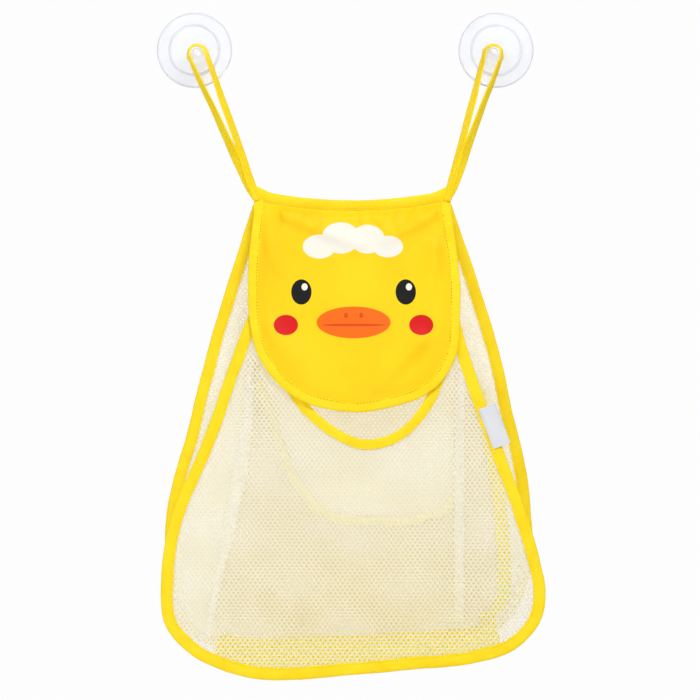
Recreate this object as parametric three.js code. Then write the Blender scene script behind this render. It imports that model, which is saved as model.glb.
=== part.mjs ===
// A hanging net pouch for bath toys: two suction cups, two tape loops and a bound cloth pouch.
// Millimetres. The origin lies on the wall, midway between the cups. +Z is up, +X is the viewer's
// right and +Y points into the wall, so the object hangs on the side of negative Y.
import * as THREE from 'three';
import { mergeVertices } from 'three/addons/utils/BufferGeometryUtils.js';

// Cloth, tape and the clearances between pieces that are sewn together.
const clothThickness = 0.8;
const tapeThickness = 0.6;
const sewnGap = 0.3;
const seamGap = 0.7;

// Suction cups, each with a flange, a neck and a button head.
const cupSpacing = 241;
const cupRadius = 30;
const cupRimWidth = 2.2;
const cupRimThickness = 1.5;
const cupHollowDepth = 3.2;
const cupDomeHeight = 5.6;
const cupDomeRadius = 8;
const cupRingRadius = 20;
const cupRingHeight = 0.5;
const neckRadius = 3;
const neckLength = 8;
const headRadius = 10;
const headThickness = 3.6;
const headLean = 2.2;
const headDrop = 2.4;
const hollowMidShare = 0.9;
const domeMidShare = 0.6;
const domeTopShare = 0.93;
const neckLeanShare = 0.2;

// Strap loops of folded tape. They hang on the necks, in front of the top binding's ends.
const strapDepth = 11.6;
const strapThickness = 2.2;
const strapEdgeRound = 0.6;
const eyeRadius = 4.7;
const eyeEndHalfWidth = 0.5;
const strandWidth = 4.2;
const leftEyeLength = 80;
const rightEyeLength = 68;
const strapHalfWidth = 5.6;
const strapEndHalfWidth = 4.2;
const strapEndDrop = 119.5;
const strapOverhang = 1.2;

// Top binding, which sags between the loops.
const headerCentreX = 5.4;
const headerHalfWidth = 75.5;
const headerDepth = 8;
const headerDrop = 112.4;
const headerHeight = 8.4;
const headerThickness = 4.2;
const headerSag = 8;
const headerEdgeRound = 1.2;

// Pouch: its outlines follow a half width, and a drop from just under the top binding.
const pouchCentreX = 5.4;
const pouchHalfWidth = 147;
const pouchTopDrop = 124;
const pouchDrop = 366;
const wallClearance = 7;
const frontTopDepth = 9.9;
const frontBaseDepth = 86;
const bindingWidth = 9.2;
const scoopBindingWidth = 7.8;
const hangGap = 0.7;
const gussetTopDrop = 144;
const netPitch = 27;
const netRowShare = 0.68;
const netHoleShare = 0.62;
const floorCornerShares = [-0.724, 0.766];

// Flap with its own binding.
const flapCentreX = 6.9;
const flapHalfWidth = 83.5;
const flapTopDrop = 131.6;
const flapDrop = 156.4;
const flapStandOff = 3.2;
const flapBindingWidth = 7.8;

// Inner pocket on the back panel.
const pocketStandOff = 2.1;
const pocketBulge = 12;
const pocketCentreX = 14;
const pocketHalfWidth = 122;
const pocketTopDrop = 240;
const pocketDrop = 228;
const pocketEdgingWidth = 5.5;
const hemWidth = 6.5;
const rightHemWidth = 4.4;
const seamTapeWidth = 7.5;

// Label tab on the front binding.
const labelWidth = 14;
const labelLength = 33;
const labelDrop = 299.5;

// A short length for measuring a surface's slope.
const probeStep = 1;

// Outlines as shares of the half width and the drop, from the top left round to the top right.
const frontOutlineShares = [
  [-0.377, 0.01], [-0.445, 0.112], [-0.52, 0.208], [-0.607, 0.295], [-0.786, 0.506],
  [-0.952, 0.673], [-0.995, 0.82], [-0.962, 0.893], [-0.841, 0.945], [-0.665, 0.98],
  [-0.499, 0.996], [-0.324, 0.999], [-0.099, 0.992], [0.305, 0.978], [0.644, 0.964],
  [0.846, 0.936], [0.972, 0.883], [1.006, 0.82], [0.978, 0.755], [0.932, 0.685],
  [0.824, 0.557], [0.715, 0.438], [0.619, 0.318], [0.572, 0.249], [0.494, 0.126],
  [0.385, 0.01],
];
const scoopLowerShares = [
  [-0.491, 0.227], [-0.48, 0.268], [-0.455, 0.311], [-0.411, 0.358], [-0.318, 0.418],
  [-0.169, 0.475], [-0.048, 0.506], [0.068, 0.525], [0.21, 0.519], [0.316, 0.486],
  [0.423, 0.422], [0.484, 0.381], [0.548, 0.327], [0.579, 0.295],
];
const backOutlineShares = [
  [-0.537, 0], [-0.737, 0.253], [-0.823, 0.379], [-0.904, 0.511], [-0.969, 0.599],
  [-1.007, 0.681], [-1.013, 0.768], [-0.982, 0.863], [-0.907, 0.923], [-0.796, 0.954],
  [-0.581, 0.969], [-0.037, 0.964], [0.507, 0.952], [0.698, 0.943], [0.82, 0.917],
  [0.91, 0.87], [0.964, 0.805], [0.98, 0.74], [0.969, 0.667], [0.945, 0.579],
  [0.867, 0.446], [0.801, 0.325], [0.682, 0.168], [0.539, 0],
];
const pocketSideShares = [
  [-0.556, 0.327], [-0.595, 0.493], [-0.659, 0.623], [-0.697, 0.728], [-0.74, 0.805],
  [-0.761, 0.88], [-0.703, 0.929], [-0.581, 0.94], [-0.037, 0.936], [0.507, 0.926],
  [0.678, 0.921], [0.786, 0.902], [0.848, 0.858], [0.858, 0.809], [0.841, 0.685],
  [0.793, 0.544], [0.732, 0.44], [0.671, 0.344],
];
const pocketMouthShares = [
  [-0.505, 0.344], [-0.484, 0.381], [-0.424, 0.441], [-0.382, 0.497], [-0.333, 0.553],
  [-0.258, 0.611], [-0.178, 0.652], [-0.086, 0.669], [0.027, 0.676], [0.15, 0.678],
  [0.274, 0.678], [0.397, 0.669], [0.499, 0.652], [0.545, 0.622], [0.552, 0.491],
  [0.554, 0.359],
];
const rightHemShares = [[0.577, 0.358], [0.578, 0.563], [0.577, 0.902]];
const flapOutlineShares = [
  [-0.954, 0], [-0.999, 0.298], [-0.984, 0.53], [-0.916, 0.696], [-0.727, 0.85],
  [-0.511, 0.939], [-0.297, 0.978], [0.028, 1], [0.41, 0.967], [0.651, 0.919],
  [0.84, 0.835], [0.963, 0.705], [0.995, 0.53], [0.999, 0.338], [0.929, 0],
];
const leftHemShares = [0.01, 0.3];
const seamTapeShares = [0.66, 0.99];
const floorStartShare = 0.3;

// How many steps each curve or cloth has.
const cupCount = 36;
const eyeCount = 12;
const bevelCount = 2;
const headerCount = 20;
const frontCount = 72;
const fineCount = 6;
const backCounts = { side: 22, floor: 16 };
const flapCounts = { side: 15, floor: 18 };
const gussetCount = 28;
const floorCount = 20;
const scoopCount = 28;
const pocketCount = 44;
const hemCount = 18;
const clothRows = 5;
const gussetRows = 4;

const clothHalf = clothThickness / 2;
const clothEdge = tapeThickness + sewnGap;
const bindingHalf = clothHalf + clothEdge;
const pouchArea = {
  x: pouchCentreX, halfWidth: pouchHalfWidth, top: -pouchTopDrop, drop: pouchDrop,
};
const flapArea = {
  x: flapCentreX, halfWidth: flapHalfWidth, top: -flapTopDrop, drop: flapDrop,
};

// Each cloth lies in a surface that gives a depth for every place seen from the front.
function frontAt(x, z) {
  const share = (-pouchTopDrop - z) / pouchDrop;
  return -(frontTopDepth + (frontBaseDepth - frontTopDepth) * share);
}

function backAt() {
  return -wallClearance;
}

function flapAt(x, z) {
  return frontAt(x, z) - flapStandOff;
}

function pocketAt(x, z) {
  const across = Math.min(1, Math.abs(x - pocketCentreX) / pocketHalfWidth);
  const up = Math.max(0, 1 - (-pocketTopDrop - z) / pocketDrop);
  const swell = (1 - across * across) * Math.min(1, up);
  return -wallClearance - pocketStandOff - pocketBulge * swell;
}

function facingAt(surface, point) {
  const slopeX = surface(point.x + probeStep, point.z) - surface(point.x, point.z);
  const slopeZ = surface(point.x, point.z + probeStep) - surface(point.x, point.z);
  return new THREE.Vector3(slopeX, -probeStep, slopeZ).normalize();
}

function laidOn(surface, point) {
  return new THREE.Vector3(point.x, surface(point.x, point.z), point.z);
}

// A smooth line through outline points given as shares of an area, laid on a surface.
function outline(shares, area, surface, count) {
  const points = shares.map(([across, down]) => {
    const place = new THREE.Vector3(area.x + area.halfWidth * across, 0, area.top);
    place.z -= area.drop * down;
    return laidOn(surface, place);
  });
  return new THREE.CatmullRomCurve3(points, false, 'centripetal').getSpacedPoints(count);
}

function tangentAt(line, i) {
  const before = line[Math.max(i - 1, 0)];
  const after = line[Math.min(i + 1, line.length - 1)];
  return after.clone().sub(before).normalize();
}

// Moves a line in its own surface, upwards where it runs to the viewer's right.
function inset(line, distance, surface) {
  return line.map((point, i) => {
    const side = facingAt(surface, point).cross(tangentAt(line, i)).normalize();
    return laidOn(surface, point.clone().addScaledVector(side, distance));
  });
}

// Moves a line out of its surface, towards the viewer.
function lifted(line, distance, surface) {
  return line.map((point) => {
    return point.clone().addScaledVector(facingAt(surface, point), distance);
  });
}

function flipped(line) {
  return [...line].reverse();
}

// The piece of a line between two shares of its length, with a new number of steps.
function stretch(line, from, to, count) {
  const curve = new THREE.CatmullRomCurve3(line, false, 'centripetal');
  const points = [];
  for (let i = 0; i <= count; i += 1) {
    points.push(curve.getPointAt(from + ((to - from) * i) / count));
  }
  return points;
}

// Pulls both ends of a line back along it.
function shortened(line, atStart, atEnd) {
  const last = line.length - 1;
  const points = line.map((point) => point.clone());
  points[0].addScaledVector(tangentAt(line, 0), atStart);
  points[last].addScaledVector(tangentAt(line, last), -atEnd);
  return points;
}

// The run of a line that keeps a distance from another line.
function clearOf(line, other, distance) {
  const isClear = (point) => other.every((place) => place.distanceTo(point) > distance);
  const first = line.findIndex(isClear);
  const last = flipped(line).findIndex(isClear);
  return line.slice(first, line.length - last);
}

// A grid of points between two edges with the same number of points.
function spanned(edgeA, edgeB, rows, surface) {
  const grid = [];
  for (let row = 0; row <= rows; row += 1) {
    grid.push(edgeA.map((point, column) => {
      const place = point.clone().lerp(edgeB[column], row / rows);
      return surface ? laidOn(surface, place) : place;
    }));
  }
  return grid;
}

// A grid inside four edges. The sides run down and the other two run to the right.
function filled(top, bottom, left, right, surface) {
  const rows = left.length - 1;
  const columns = top.length - 1;
  return left.map((leftPoint, row) => top.map((topPoint, column) => {
    const u = column / columns;
    const v = row / rows;
    const place = topPoint.clone().multiplyScalar(1 - v);
    place.addScaledVector(bottom[column], v);
    place.addScaledVector(leftPoint, 1 - u);
    place.addScaledVector(right[row], u);
    place.addScaledVector(top[0], -(1 - u) * (1 - v));
    place.addScaledVector(top[columns], -u * (1 - v));
    place.addScaledVector(bottom[0], -(1 - u) * v);
    place.addScaledVector(bottom[columns], -u * v);
    return laidOn(surface, place);
  }));
}

function gridNormal(grid, row, column) {
  const above = grid[Math.max(row - 1, 0)][column];
  const below = grid[Math.min(row + 1, grid.length - 1)][column];
  const across = tangentAt(grid[row], column);
  return across.cross(below.clone().sub(above)).normalize();
}

function quad(faces, a, b, c, d) {
  faces.push(a, b, c, a, c, d);
}

// Turns a closed mesh's faces outwards, going by its signed volume.
function closedGeometry(places, faces) {
  const raw = new THREE.BufferGeometry();
  raw.setAttribute('position', new THREE.Float32BufferAttribute(places, 3));
  raw.setIndex(faces);
  const geometry = mergeVertices(raw);
  const at = geometry.getAttribute('position');
  const index = geometry.getIndex();
  const corner = [new THREE.Vector3(), new THREE.Vector3(), new THREE.Vector3()];
  let volume = 0;
  for (let i = 0; i < index.count; i += 3) {
    corner.forEach((point, k) => point.fromBufferAttribute(at, index.getX(i + k)));
    volume += corner[0].dot(corner[1].clone().cross(corner[2]));
  }
  if (volume < 0) {
    for (let i = 0; i < index.count; i += 3) {
      const kept = index.getX(i);
      index.setX(i, index.getX(i + 1));
      index.setX(i + 1, kept);
    }
  }
  geometry.computeVertexNormals();
  return geometry;
}

// A sheet of even thickness on both sides of a grid of points.
function clothSheet(grid) {
  const rows = grid.length;
  const columns = grid[0].length;
  const places = [];
  const faces = [];
  [-clothHalf, clothHalf].forEach((offset) => {
    grid.forEach((line, row) => line.forEach((point, column) => {
      const place = point.clone().addScaledVector(gridNormal(grid, row, column), offset);
      places.push(place.x, place.y, place.z);
    }));
  });
  const at = (side, row, column) => side * rows * columns + row * columns + column;
  const lastRow = rows - 1;
  const lastColumn = columns - 1;
  for (let row = 0; row < lastRow; row += 1) {
    for (let column = 0; column < lastColumn; column += 1) {
      quad(faces, at(1, row, column), at(1, row + 1, column),
        at(1, row + 1, column + 1), at(1, row, column + 1));
      quad(faces, at(0, row, column), at(0, row, column + 1),
        at(0, row + 1, column + 1), at(0, row + 1, column));
    }
    quad(faces, at(0, row, 0), at(0, row + 1, 0), at(1, row + 1, 0), at(1, row, 0));
    quad(faces, at(0, row, lastColumn), at(1, row, lastColumn),
      at(1, row + 1, lastColumn), at(0, row + 1, lastColumn));
  }
  for (let column = 0; column < lastColumn; column += 1) {
    quad(faces, at(0, 0, column), at(1, 0, column), at(1, 0, column + 1), at(0, 0, column + 1));
    quad(faces, at(0, lastRow, column), at(0, lastRow, column + 1),
      at(1, lastRow, column + 1), at(1, lastRow, column));
  }
  return closedGeometry(places, faces);
}

// Sweeps a flat section, given as pairs of inward and forward distance, along a line.
function sweep(line, surface, section) {
  const places = [];
  const faces = [];
  line.forEach((point, i) => {
    const tangent = tangentAt(line, i);
    const inward = facingAt(surface, point).cross(tangent).normalize();
    const forward = tangent.clone().cross(inward).normalize();
    section.forEach(([along, out]) => {
      const place = point.clone().addScaledVector(inward, along).addScaledVector(forward, out);
      places.push(place.x, place.y, place.z);
    });
  });
  const size = section.length;
  for (let i = 0; i + 1 < line.length; i += 1) {
    for (let k = 0; k < size; k += 1) {
      const next = (k + 1) % size;
      quad(faces, i * size + k, i * size + next, (i + 1) * size + next, (i + 1) * size + k);
    }
  }
  const contour = section.map(([along, out]) => new THREE.Vector2(along, out));
  const last = (line.length - 1) * size;
  THREE.ShapeUtils.triangulateShape(contour, []).forEach(([a, b, c]) => {
    faces.push(a, c, b);
    faces.push(last + a, last + b, last + c);
  });
  return closedGeometry(places, faces);
}

// The section of a tape that is folded over a cloth's edge. The line is the outside of the fold.
function foldedSection(width) {
  const inside = clothHalf + sewnGap;
  return [
    [0, -bindingHalf], [width, -bindingHalf], [width, -inside], [tapeThickness, -inside],
    [tapeThickness, inside], [width, inside], [width, bindingHalf], [0, bindingHalf],
  ];
}

// The section of a flat tape in front of a cloth.
function flatSection(width, standOff) {
  const near = clothHalf + standOff;
  const far = near + tapeThickness;
  return [[-width / 2, near], [width / 2, near], [width / 2, far], [-width / 2, far]];
}

function roundedSection(height, thickness, round) {
  const high = height / 2;
  const wide = thickness / 2;
  return [
    [-high + round, -wide], [high - round, -wide], [high, -wide + round], [high, wide - round],
    [high - round, wide], [-high + round, wide], [-high, wide - round], [-high, -wide + round],
  ];
}

function material(color, roughness, extra = {}) {
  return new THREE.MeshStandardMaterial({ color, roughness, metalness: 0, ...extra });
}

function isInside(place, edge) {
  let found = false;
  edge.forEach((a, i) => {
    const b = edge[(i + 1) % edge.length];
    const crosses = (a.z > place.z) !== (b.z > place.z);
    if (crosses && place.x < a.x + ((place.z - a.z) * (b.x - a.x)) / (b.z - a.z)) {
      found = !found;
    }
  });
  return found;
}

// Staggered diamond holes that keep clear of a net's edge, as a coarse form of its fine mesh.
function netHoles(edge) {
  const rowDrop = netPitch * netRowShare;
  const across = new THREE.Vector3((netPitch * netHoleShare) / 2, 0, 0);
  const down = new THREE.Vector3(0, 0, -rowDrop * netHoleShare);
  const columns = Math.ceil(pouchHalfWidth / netPitch);
  const rows = Math.floor(pouchDrop / rowDrop);
  const holes = [];
  for (let row = 0; row <= rows; row += 1) {
    for (let column = -columns; column <= columns; column += 1) {
      const x = pouchCentreX + (column + (row % 2) / 2) * netPitch;
      const centre = new THREE.Vector3(x, 0, -pouchTopDrop - row * rowDrop);
      const isClear = edge.every((point) => {
        return Math.hypot(point.x - centre.x, point.z - centre.z) > bindingWidth + across.x;
      });
      if (isClear && isInside(centre, edge)) {
        holes.push([
          centre.clone().add(across), centre.clone().add(down),
          centre.clone().sub(across), centre.clone().sub(down),
        ]);
      }
    }
  }
  return holes;
}

// A flat net of even thickness on both sides of its surface, with its holes cut through.
function netSheet(edge, surface) {
  const loops = [edge, ...netHoles(edge)].map((loop, i) => {
    const flat = loop.map((point) => new THREE.Vector2(point.x, point.z));
    return THREE.ShapeUtils.isClockWise(flat) === (i > 0) ? loop : flipped(loop);
  });
  const flats = loops.map((loop) => loop.map((point) => new THREE.Vector2(point.x, point.z)));
  const points = loops.flat();
  const places = [];
  [clothHalf, -clothHalf].forEach((offset) => points.forEach((point) => {
    const place = laidOn(surface, point).addScaledVector(facingAt(surface, point), offset);
    places.push(place.x, place.y, place.z);
  }));
  const size = points.length;
  const faces = [];
  THREE.ShapeUtils.triangulateShape(flats[0], flats.slice(1)).forEach(([a, b, c]) => {
    faces.push(a, b, c, size + a, size + c, size + b);
  });
  let first = 0;
  loops.forEach((loop) => {
    loop.forEach((point, i) => {
      const here = first + i;
      const after = first + ((i + 1) % loop.length);
      quad(faces, after, here, size + here, size + after);
    });
    first += loop.length;
  });
  return closedGeometry(places, faces);
}

function piece(name, geometry, look) {
  const mesh = new THREE.Mesh(geometry, look);
  mesh.name = name;
  return mesh;
}

const yellowTape = () => material(0xf9d71a, 0.75);
const yellowCloth = () => material(0xfadb24, 0.7);
const creamNet = () => material(0xf0e4bc, 0.85);
const paleTape = () => material(0xf6f0df, 0.8);
const whiteTape = () => material(0xf7f8fa, 0.6);

// A soft cup: flat rim, shallow hollow, dome with one moulded ring, neck and button head.
function cupProfile() {
  const y = -cupDomeHeight;
  const neckEnd = y - neckLength;
  const headEnd = neckEnd - headThickness;
  const domeAt = (share) => -(cupRimThickness + (cupDomeHeight - cupRimThickness) * share);
  const ringShare = (cupRadius - cupRingRadius) / (cupRadius - cupDomeRadius);
  const ringY = domeAt(ringShare * ringShare);
  const fillet = neckRadius / 2;
  const headRound = headThickness / 2;
  return [
    [0, -cupHollowDepth], [cupRingRadius / 2, -cupHollowDepth * hollowMidShare],
    [cupRingRadius, -cupHollowDepth / 2], [cupRadius - cupRimWidth, 0],
    [cupRadius, 0], [cupRadius, -cupRimThickness],
    [cupRadius - cupRimWidth, -cupRimThickness - cupRingHeight / 2],
    [cupRingRadius + cupRingHeight * 2, ringY], [cupRingRadius, ringY - cupRingHeight],
    [cupRingRadius - cupRingHeight * 2, ringY],
    [(cupRingRadius + cupDomeRadius) / 2, domeAt(domeMidShare)],
    [cupDomeRadius, domeAt(domeTopShare)], [neckRadius + fillet, y - fillet / 4],
    [neckRadius, y - fillet], [neckRadius, neckEnd + fillet / 2],
    [neckRadius + fillet / 2, neckEnd], [headRadius - headRound, neckEnd],
    [headRadius - headRound / 4, neckEnd - headRound / 3],
    [headRadius, neckEnd - headRound], [headRadius - headRound / 2, headEnd + headRound / 4],
    [headRadius - headRound * 2, headEnd], [0, headEnd],
  ].map(([radius, place]) => new THREE.Vector2(radius, place));
}

// The load leans the neck and head a little towards the strap.
function suctionCup(name, side) {
  const raw = new THREE.LatheGeometry(cupProfile(), cupCount);
  raw.deleteAttribute('normal');
  raw.deleteAttribute('uv');
  const merged = mergeVertices(raw);
  const at = merged.getAttribute('position');
  const places = [];
  for (let i = 0; i < at.count; i += 1) {
    const depth = Math.max(0, -at.getY(i) - cupDomeHeight);
    const share = Math.min(1, depth / (neckLength * neckLeanShare));
    places.push(at.getX(i) - side * headLean * share, at.getY(i), at.getZ(i) - headDrop * share);
  }
  const kept = [];
  const index = merged.getIndex();
  for (let i = 0; i < index.count; i += 3) {
    const face = [index.getX(i), index.getX(i + 1), index.getX(i + 2)];
    if (new Set(face).size === face.length) {
      kept.push(...face);
    }
  }
  const look = material(0xf2f3f7, 0.12, { transparent: true, opacity: 0.35 });
  const mesh = piece(name, closedGeometry(places, kept), look);
  mesh.position.x = (side * cupSpacing) / 2;
  return mesh;
}

function neckPlace(side) {
  return new THREE.Vector2(side * (cupSpacing / 2 - headLean), -headDrop);
}

// The lower end of a strap, sewn on the front of the top binding's end.
function strapEnd(side) {
  return new THREE.Vector2(headerCentreX + side * (headerHalfWidth + strapOverhang), -strapEndDrop);
}

// A loop seen from the front: a long eye over the neck, and a strip that narrows to its end.
function strapShape(length, eyeLength) {
  const round = eyeRadius + strandWidth;
  const shift = eyeRadius - neckRadius - sewnGap;
  const shape = new THREE.Shape();
  shape.moveTo(-strapEndHalfWidth, -length);
  shape.lineTo(strapEndHalfWidth, -length);
  shape.lineTo(strapHalfWidth, -eyeLength);
  shape.lineTo(round, -shift);
  shape.absarc(0, -shift, round, 0, Math.PI, false);
  shape.lineTo(-strapHalfWidth, -eyeLength);
  shape.closePath();
  const eye = new THREE.Path();
  eye.moveTo(eyeRadius, -shift);
  eye.lineTo(eyeEndHalfWidth, -eyeLength);
  eye.lineTo(-eyeEndHalfWidth, -eyeLength);
  eye.lineTo(-eyeRadius, -shift);
  eye.absarc(0, -shift, eyeRadius, Math.PI, 0, true);
  shape.holes.push(eye);
  return shape;
}

function strapLoop(name, side, eyeLength) {
  const from = neckPlace(side);
  const to = strapEnd(side);
  const lean = Math.atan2(to.x - from.x, from.y - to.y);
  const geometry = new THREE.ExtrudeGeometry(strapShape(from.distanceTo(to), eyeLength), {
    depth: strapThickness - 2 * strapEdgeRound,
    bevelThickness: strapEdgeRound,
    bevelSize: strapEdgeRound,
    bevelOffset: -strapEdgeRound,
    bevelSegments: bevelCount,
    curveSegments: eyeCount,
  });
  geometry.translate(0, 0, strapEdgeRound - strapThickness / 2);
  geometry.rotateX(Math.PI / 2);
  const mesh = piece(name, geometry, yellowTape());
  mesh.rotation.y = -lean;
  mesh.position.set(from.x, -strapDepth, from.y);
  return mesh;
}

// The height of the top binding's lower edge at a place along it.
function headerEdgeAt(x) {
  const share = (x - headerCentreX) / headerHalfWidth;
  return -headerDrop - headerHeight - headerSag * (1 - share * share);
}

function topBinding() {
  const line = [];
  for (let i = 0; i <= headerCount; i += 1) {
    const x = headerCentreX + headerHalfWidth * ((2 * i) / headerCount - 1);
    line.push(new THREE.Vector3(x, -headerDepth, headerEdgeAt(x) + headerHeight / 2));
  }
  const section = roundedSection(headerHeight, headerThickness, headerEdgeRound);
  return piece('top_binding', sweep(line, backAt, section), yellowTape());
}

function boundEdge(name, line, surface, width, look) {
  return piece(name, sweep(line, surface, foldedSection(width)), look);
}

function flatTape(name, line, surface, width, standOff, look) {
  return piece(name, sweep(line, surface, flatSection(width, standOff)), look);
}

// Splits a line that goes down, along a floor and up again.
function threeSides(line, counts) {
  const corner = counts.side + counts.floor;
  return {
    left: line.slice(0, counts.side + 1),
    floor: line.slice(counts.side, corner + 1),
    right: flipped(line.slice(corner)),
  };
}

function lineCount(counts) {
  return 2 * counts.side + counts.floor;
}

// A straight line between the tops of two sides, lowered where the top binding sags over it.
function hungTop(sides, counts, surface) {
  const from = sides.left[0];
  const to = sides.right[0];
  const line = [];
  for (let i = 0; i <= counts.floor; i += 1) {
    const place = from.clone().lerp(to, i / counts.floor);
    place.z = Math.min(place.z, headerEdgeAt(place.x) - hangGap);
    line.push(laidOn(surface, place));
  }
  return line;
}

function hungCloth(name, line, counts, surface, look) {
  const sides = threeSides(inset(line, clothEdge, surface), counts);
  const top = hungTop(sides, counts, surface);
  const grid = filled(top, sides.floor, sides.left, sides.right, surface);
  return piece(name, clothSheet(grid), look);
}

function backPanel() {
  const edge = inset(backLine, clothEdge, backAt);
  const top = flipped(hungTop(threeSides(edge, backCounts), backCounts, backAt)).slice(1, -1);
  return piece('back_panel', netSheet([...edge, ...top], backAt), creamNet());
}

// The front panel's upper edge: narrow margins inside the side bindings and the scoop between.
function frontUpperEdge(edge, scoop) {
  const margin = inset(frontLine, bindingWidth / 2, frontAt);
  const leftEnd = margin.findIndex((point) => point.z < scoop[0].z);
  const rightEnd = flipped(margin).findIndex((point) => point.z < scoop[scoop.length - 1].z);
  const middle = stretch(scoop, 0, 1, edge.length - 1 - leftEnd - rightEnd);
  return [...margin.slice(0, leftEnd), ...middle, ...margin.slice(margin.length - rightEnd)];
}

function frontPanel() {
  const edge = inset(frontLine, clothEdge, frontAt);
  const scoop = inset(scoopLine, -clothEdge, frontAt);
  const top = flipped(frontUpperEdge(edge, scoop));
  return piece('front_panel', netSheet([...edge, ...top], frontAt), creamNet());
}

// The scoop's tape ends short of the side bindings.
function scoopBinding() {
  const run = clearOf(scoopLower, frontFineLine, bindingWidth + seamGap);
  const first = scoopLower.indexOf(run[0]);
  const line = scoopLine.slice(first, first + run.length);
  return boundEdge('scoop_binding', flipped(line), frontAt, scoopBindingWidth, yellowTape());
}

// The gussets and the floor run between a line behind the front binding and one before the back's.
const seamReach = bindingHalf + seamGap;

function belowTop(line) {
  return line.filter((point) => point.z < -gussetTopDrop);
}

function gussetEdges() {
  const front = inset(frontFineLine, bindingWidth / 2, frontAt);
  const back = inset(backFineLine, bindingWidth / 2, backAt);
  return [belowTop(lifted(front, -seamReach, frontAt)), belowTop(lifted(back, seamReach, backAt))];
}

// Where a line reaches a place in X on the pouch's floor.
function floorIndex(line, x) {
  return line.findIndex((point, i) => i > line.length * floorStartShare && point.x > x);
}

function gussetPiece(name, edges, starts, ends, gaps, count, look) {
  const lines = edges.map((edge, i) => {
    const line = stretch(edge.slice(starts[i], ends[i]), 0, 1, count);
    return shortened(line, gaps[0], gaps[1]);
  });
  return piece(name, clothSheet(spanned(lines[0], lines[1], gussetRows)), look);
}

function gussetPieces() {
  const edges = gussetEdges();
  const corners = floorCornerShares.map((share) => pouchCentreX + pouchHalfWidth * share);
  const tops = [0, 0];
  const lefts = edges.map((edge) => floorIndex(edge, corners[0]));
  const rights = edges.map((edge) => floorIndex(edge, corners[1]));
  const ends = edges.map((edge) => edge.length);
  const half = seamGap / 2;
  return [
    gussetPiece('gusset_left', edges, tops, lefts.map((i) => i + 1), [0, half],
      gussetCount, creamNet()),
    gussetPiece('base_gusset', edges, lefts, rights.map((i) => i + 1), [half, half],
      floorCount, yellowCloth()),
    gussetPiece('gusset_right', edges, rights, ends, [half, 0], gussetCount, creamNet()),
  ];
}

function pocketPieces() {
  const side = outline(pocketSideShares, pouchArea, pocketAt, pocketCount);
  const mouth = outline(pocketMouthShares, pouchArea, pocketAt, pocketCount);
  const rim = inset(mouth, -clothEdge, pocketAt);
  const hem = stretch(side, leftHemShares[0], leftHemShares[1], hemCount);
  const tape = stretch(side, seamTapeShares[0], seamTapeShares[1], hemCount);
  const rightHem = outline(rightHemShares, pouchArea, pocketAt, hemCount);
  const overEdging = clothEdge + sewnGap;
  return [
    piece('pocket_panel', clothSheet(spanned(side, rim, clothRows, pocketAt)), creamNet()),
    boundEdge('pocket_edging', flipped(mouth), pocketAt, pocketEdgingWidth, paleTape()),
    flatTape('pocket_hem_left', inset(hem, hemWidth / 2, pocketAt), pocketAt, hemWidth,
      overEdging, paleTape()),
    flatTape('pocket_hem_right', rightHem, pocketAt, rightHemWidth, overEdging, paleTape()),
    flatTape('seam_tape_right', inset(tape, seamTapeWidth / 2, pocketAt), pocketAt,
      seamTapeWidth, sewnGap, yellowTape()),
  ];
}

function flapPieces() {
  const line = outline(flapOutlineShares, flapArea, flapAt, lineCount(flapCounts));
  return [
    hungCloth('face_flap', line, flapCounts, flapAt, yellowCloth()),
    boundEdge('flap_binding', line, flapAt, flapBindingWidth, yellowTape()),
  ];
}

// A plate on the front binding's outer edge, along its direction there.
function sideLabel() {
  const fromEnd = flipped(frontFineLine).findIndex((point) => point.z < -labelDrop);
  const i = frontFineLine.length - 1 - fromEnd;
  const along = tangentAt(frontFineLine, i).multiplyScalar(labelLength / 2);
  const centre = frontFineLine[i];
  const line = [centre.clone().sub(along), centre.clone().add(along)];
  return flatTape('side_label', line, frontAt, labelWidth, clothEdge + sewnGap, whiteTape());
}

const frontLine = outline(frontOutlineShares, pouchArea, frontAt, frontCount);
const frontFineLine = outline(frontOutlineShares, pouchArea, frontAt, frontCount * fineCount);
const backLine = outline(backOutlineShares, pouchArea, backAt, lineCount(backCounts));
const backFineLine = outline(backOutlineShares, pouchArea, backAt, frontCount * fineCount);
const scoopLower = outline(scoopLowerShares, pouchArea, frontAt, scoopCount);
const scoopLine = inset(scoopLower, scoopBindingWidth, frontAt);

const group = new THREE.Group();
group.add(suctionCup('suction_cup_left', -1));
group.add(suctionCup('suction_cup_right', 1));
group.add(strapLoop('strap_loop_left', -1, leftEyeLength));
group.add(strapLoop('strap_loop_right', 1, rightEyeLength));
group.add(topBinding());
group.add(backPanel());
group.add(boundEdge('back_binding', backLine, backAt, bindingWidth, yellowTape()));
group.add(frontPanel());
group.add(boundEdge('front_binding', frontLine, frontAt, bindingWidth, yellowTape()));
group.add(scoopBinding());
group.add(...gussetPieces());
group.add(...pocketPieces());
group.add(...flapPieces());
group.add(sideLabel());

export default group;
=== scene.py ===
"""Dresses a hanging bath toy pouch: clear cups, tape loops, a bound net pouch and a faced flap.

Metres in the row frame. +Z is up, +X is the viewer's right and +Y points into the wall.
"""
import logging
import math
from dataclasses import dataclass
from enum import Enum

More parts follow.
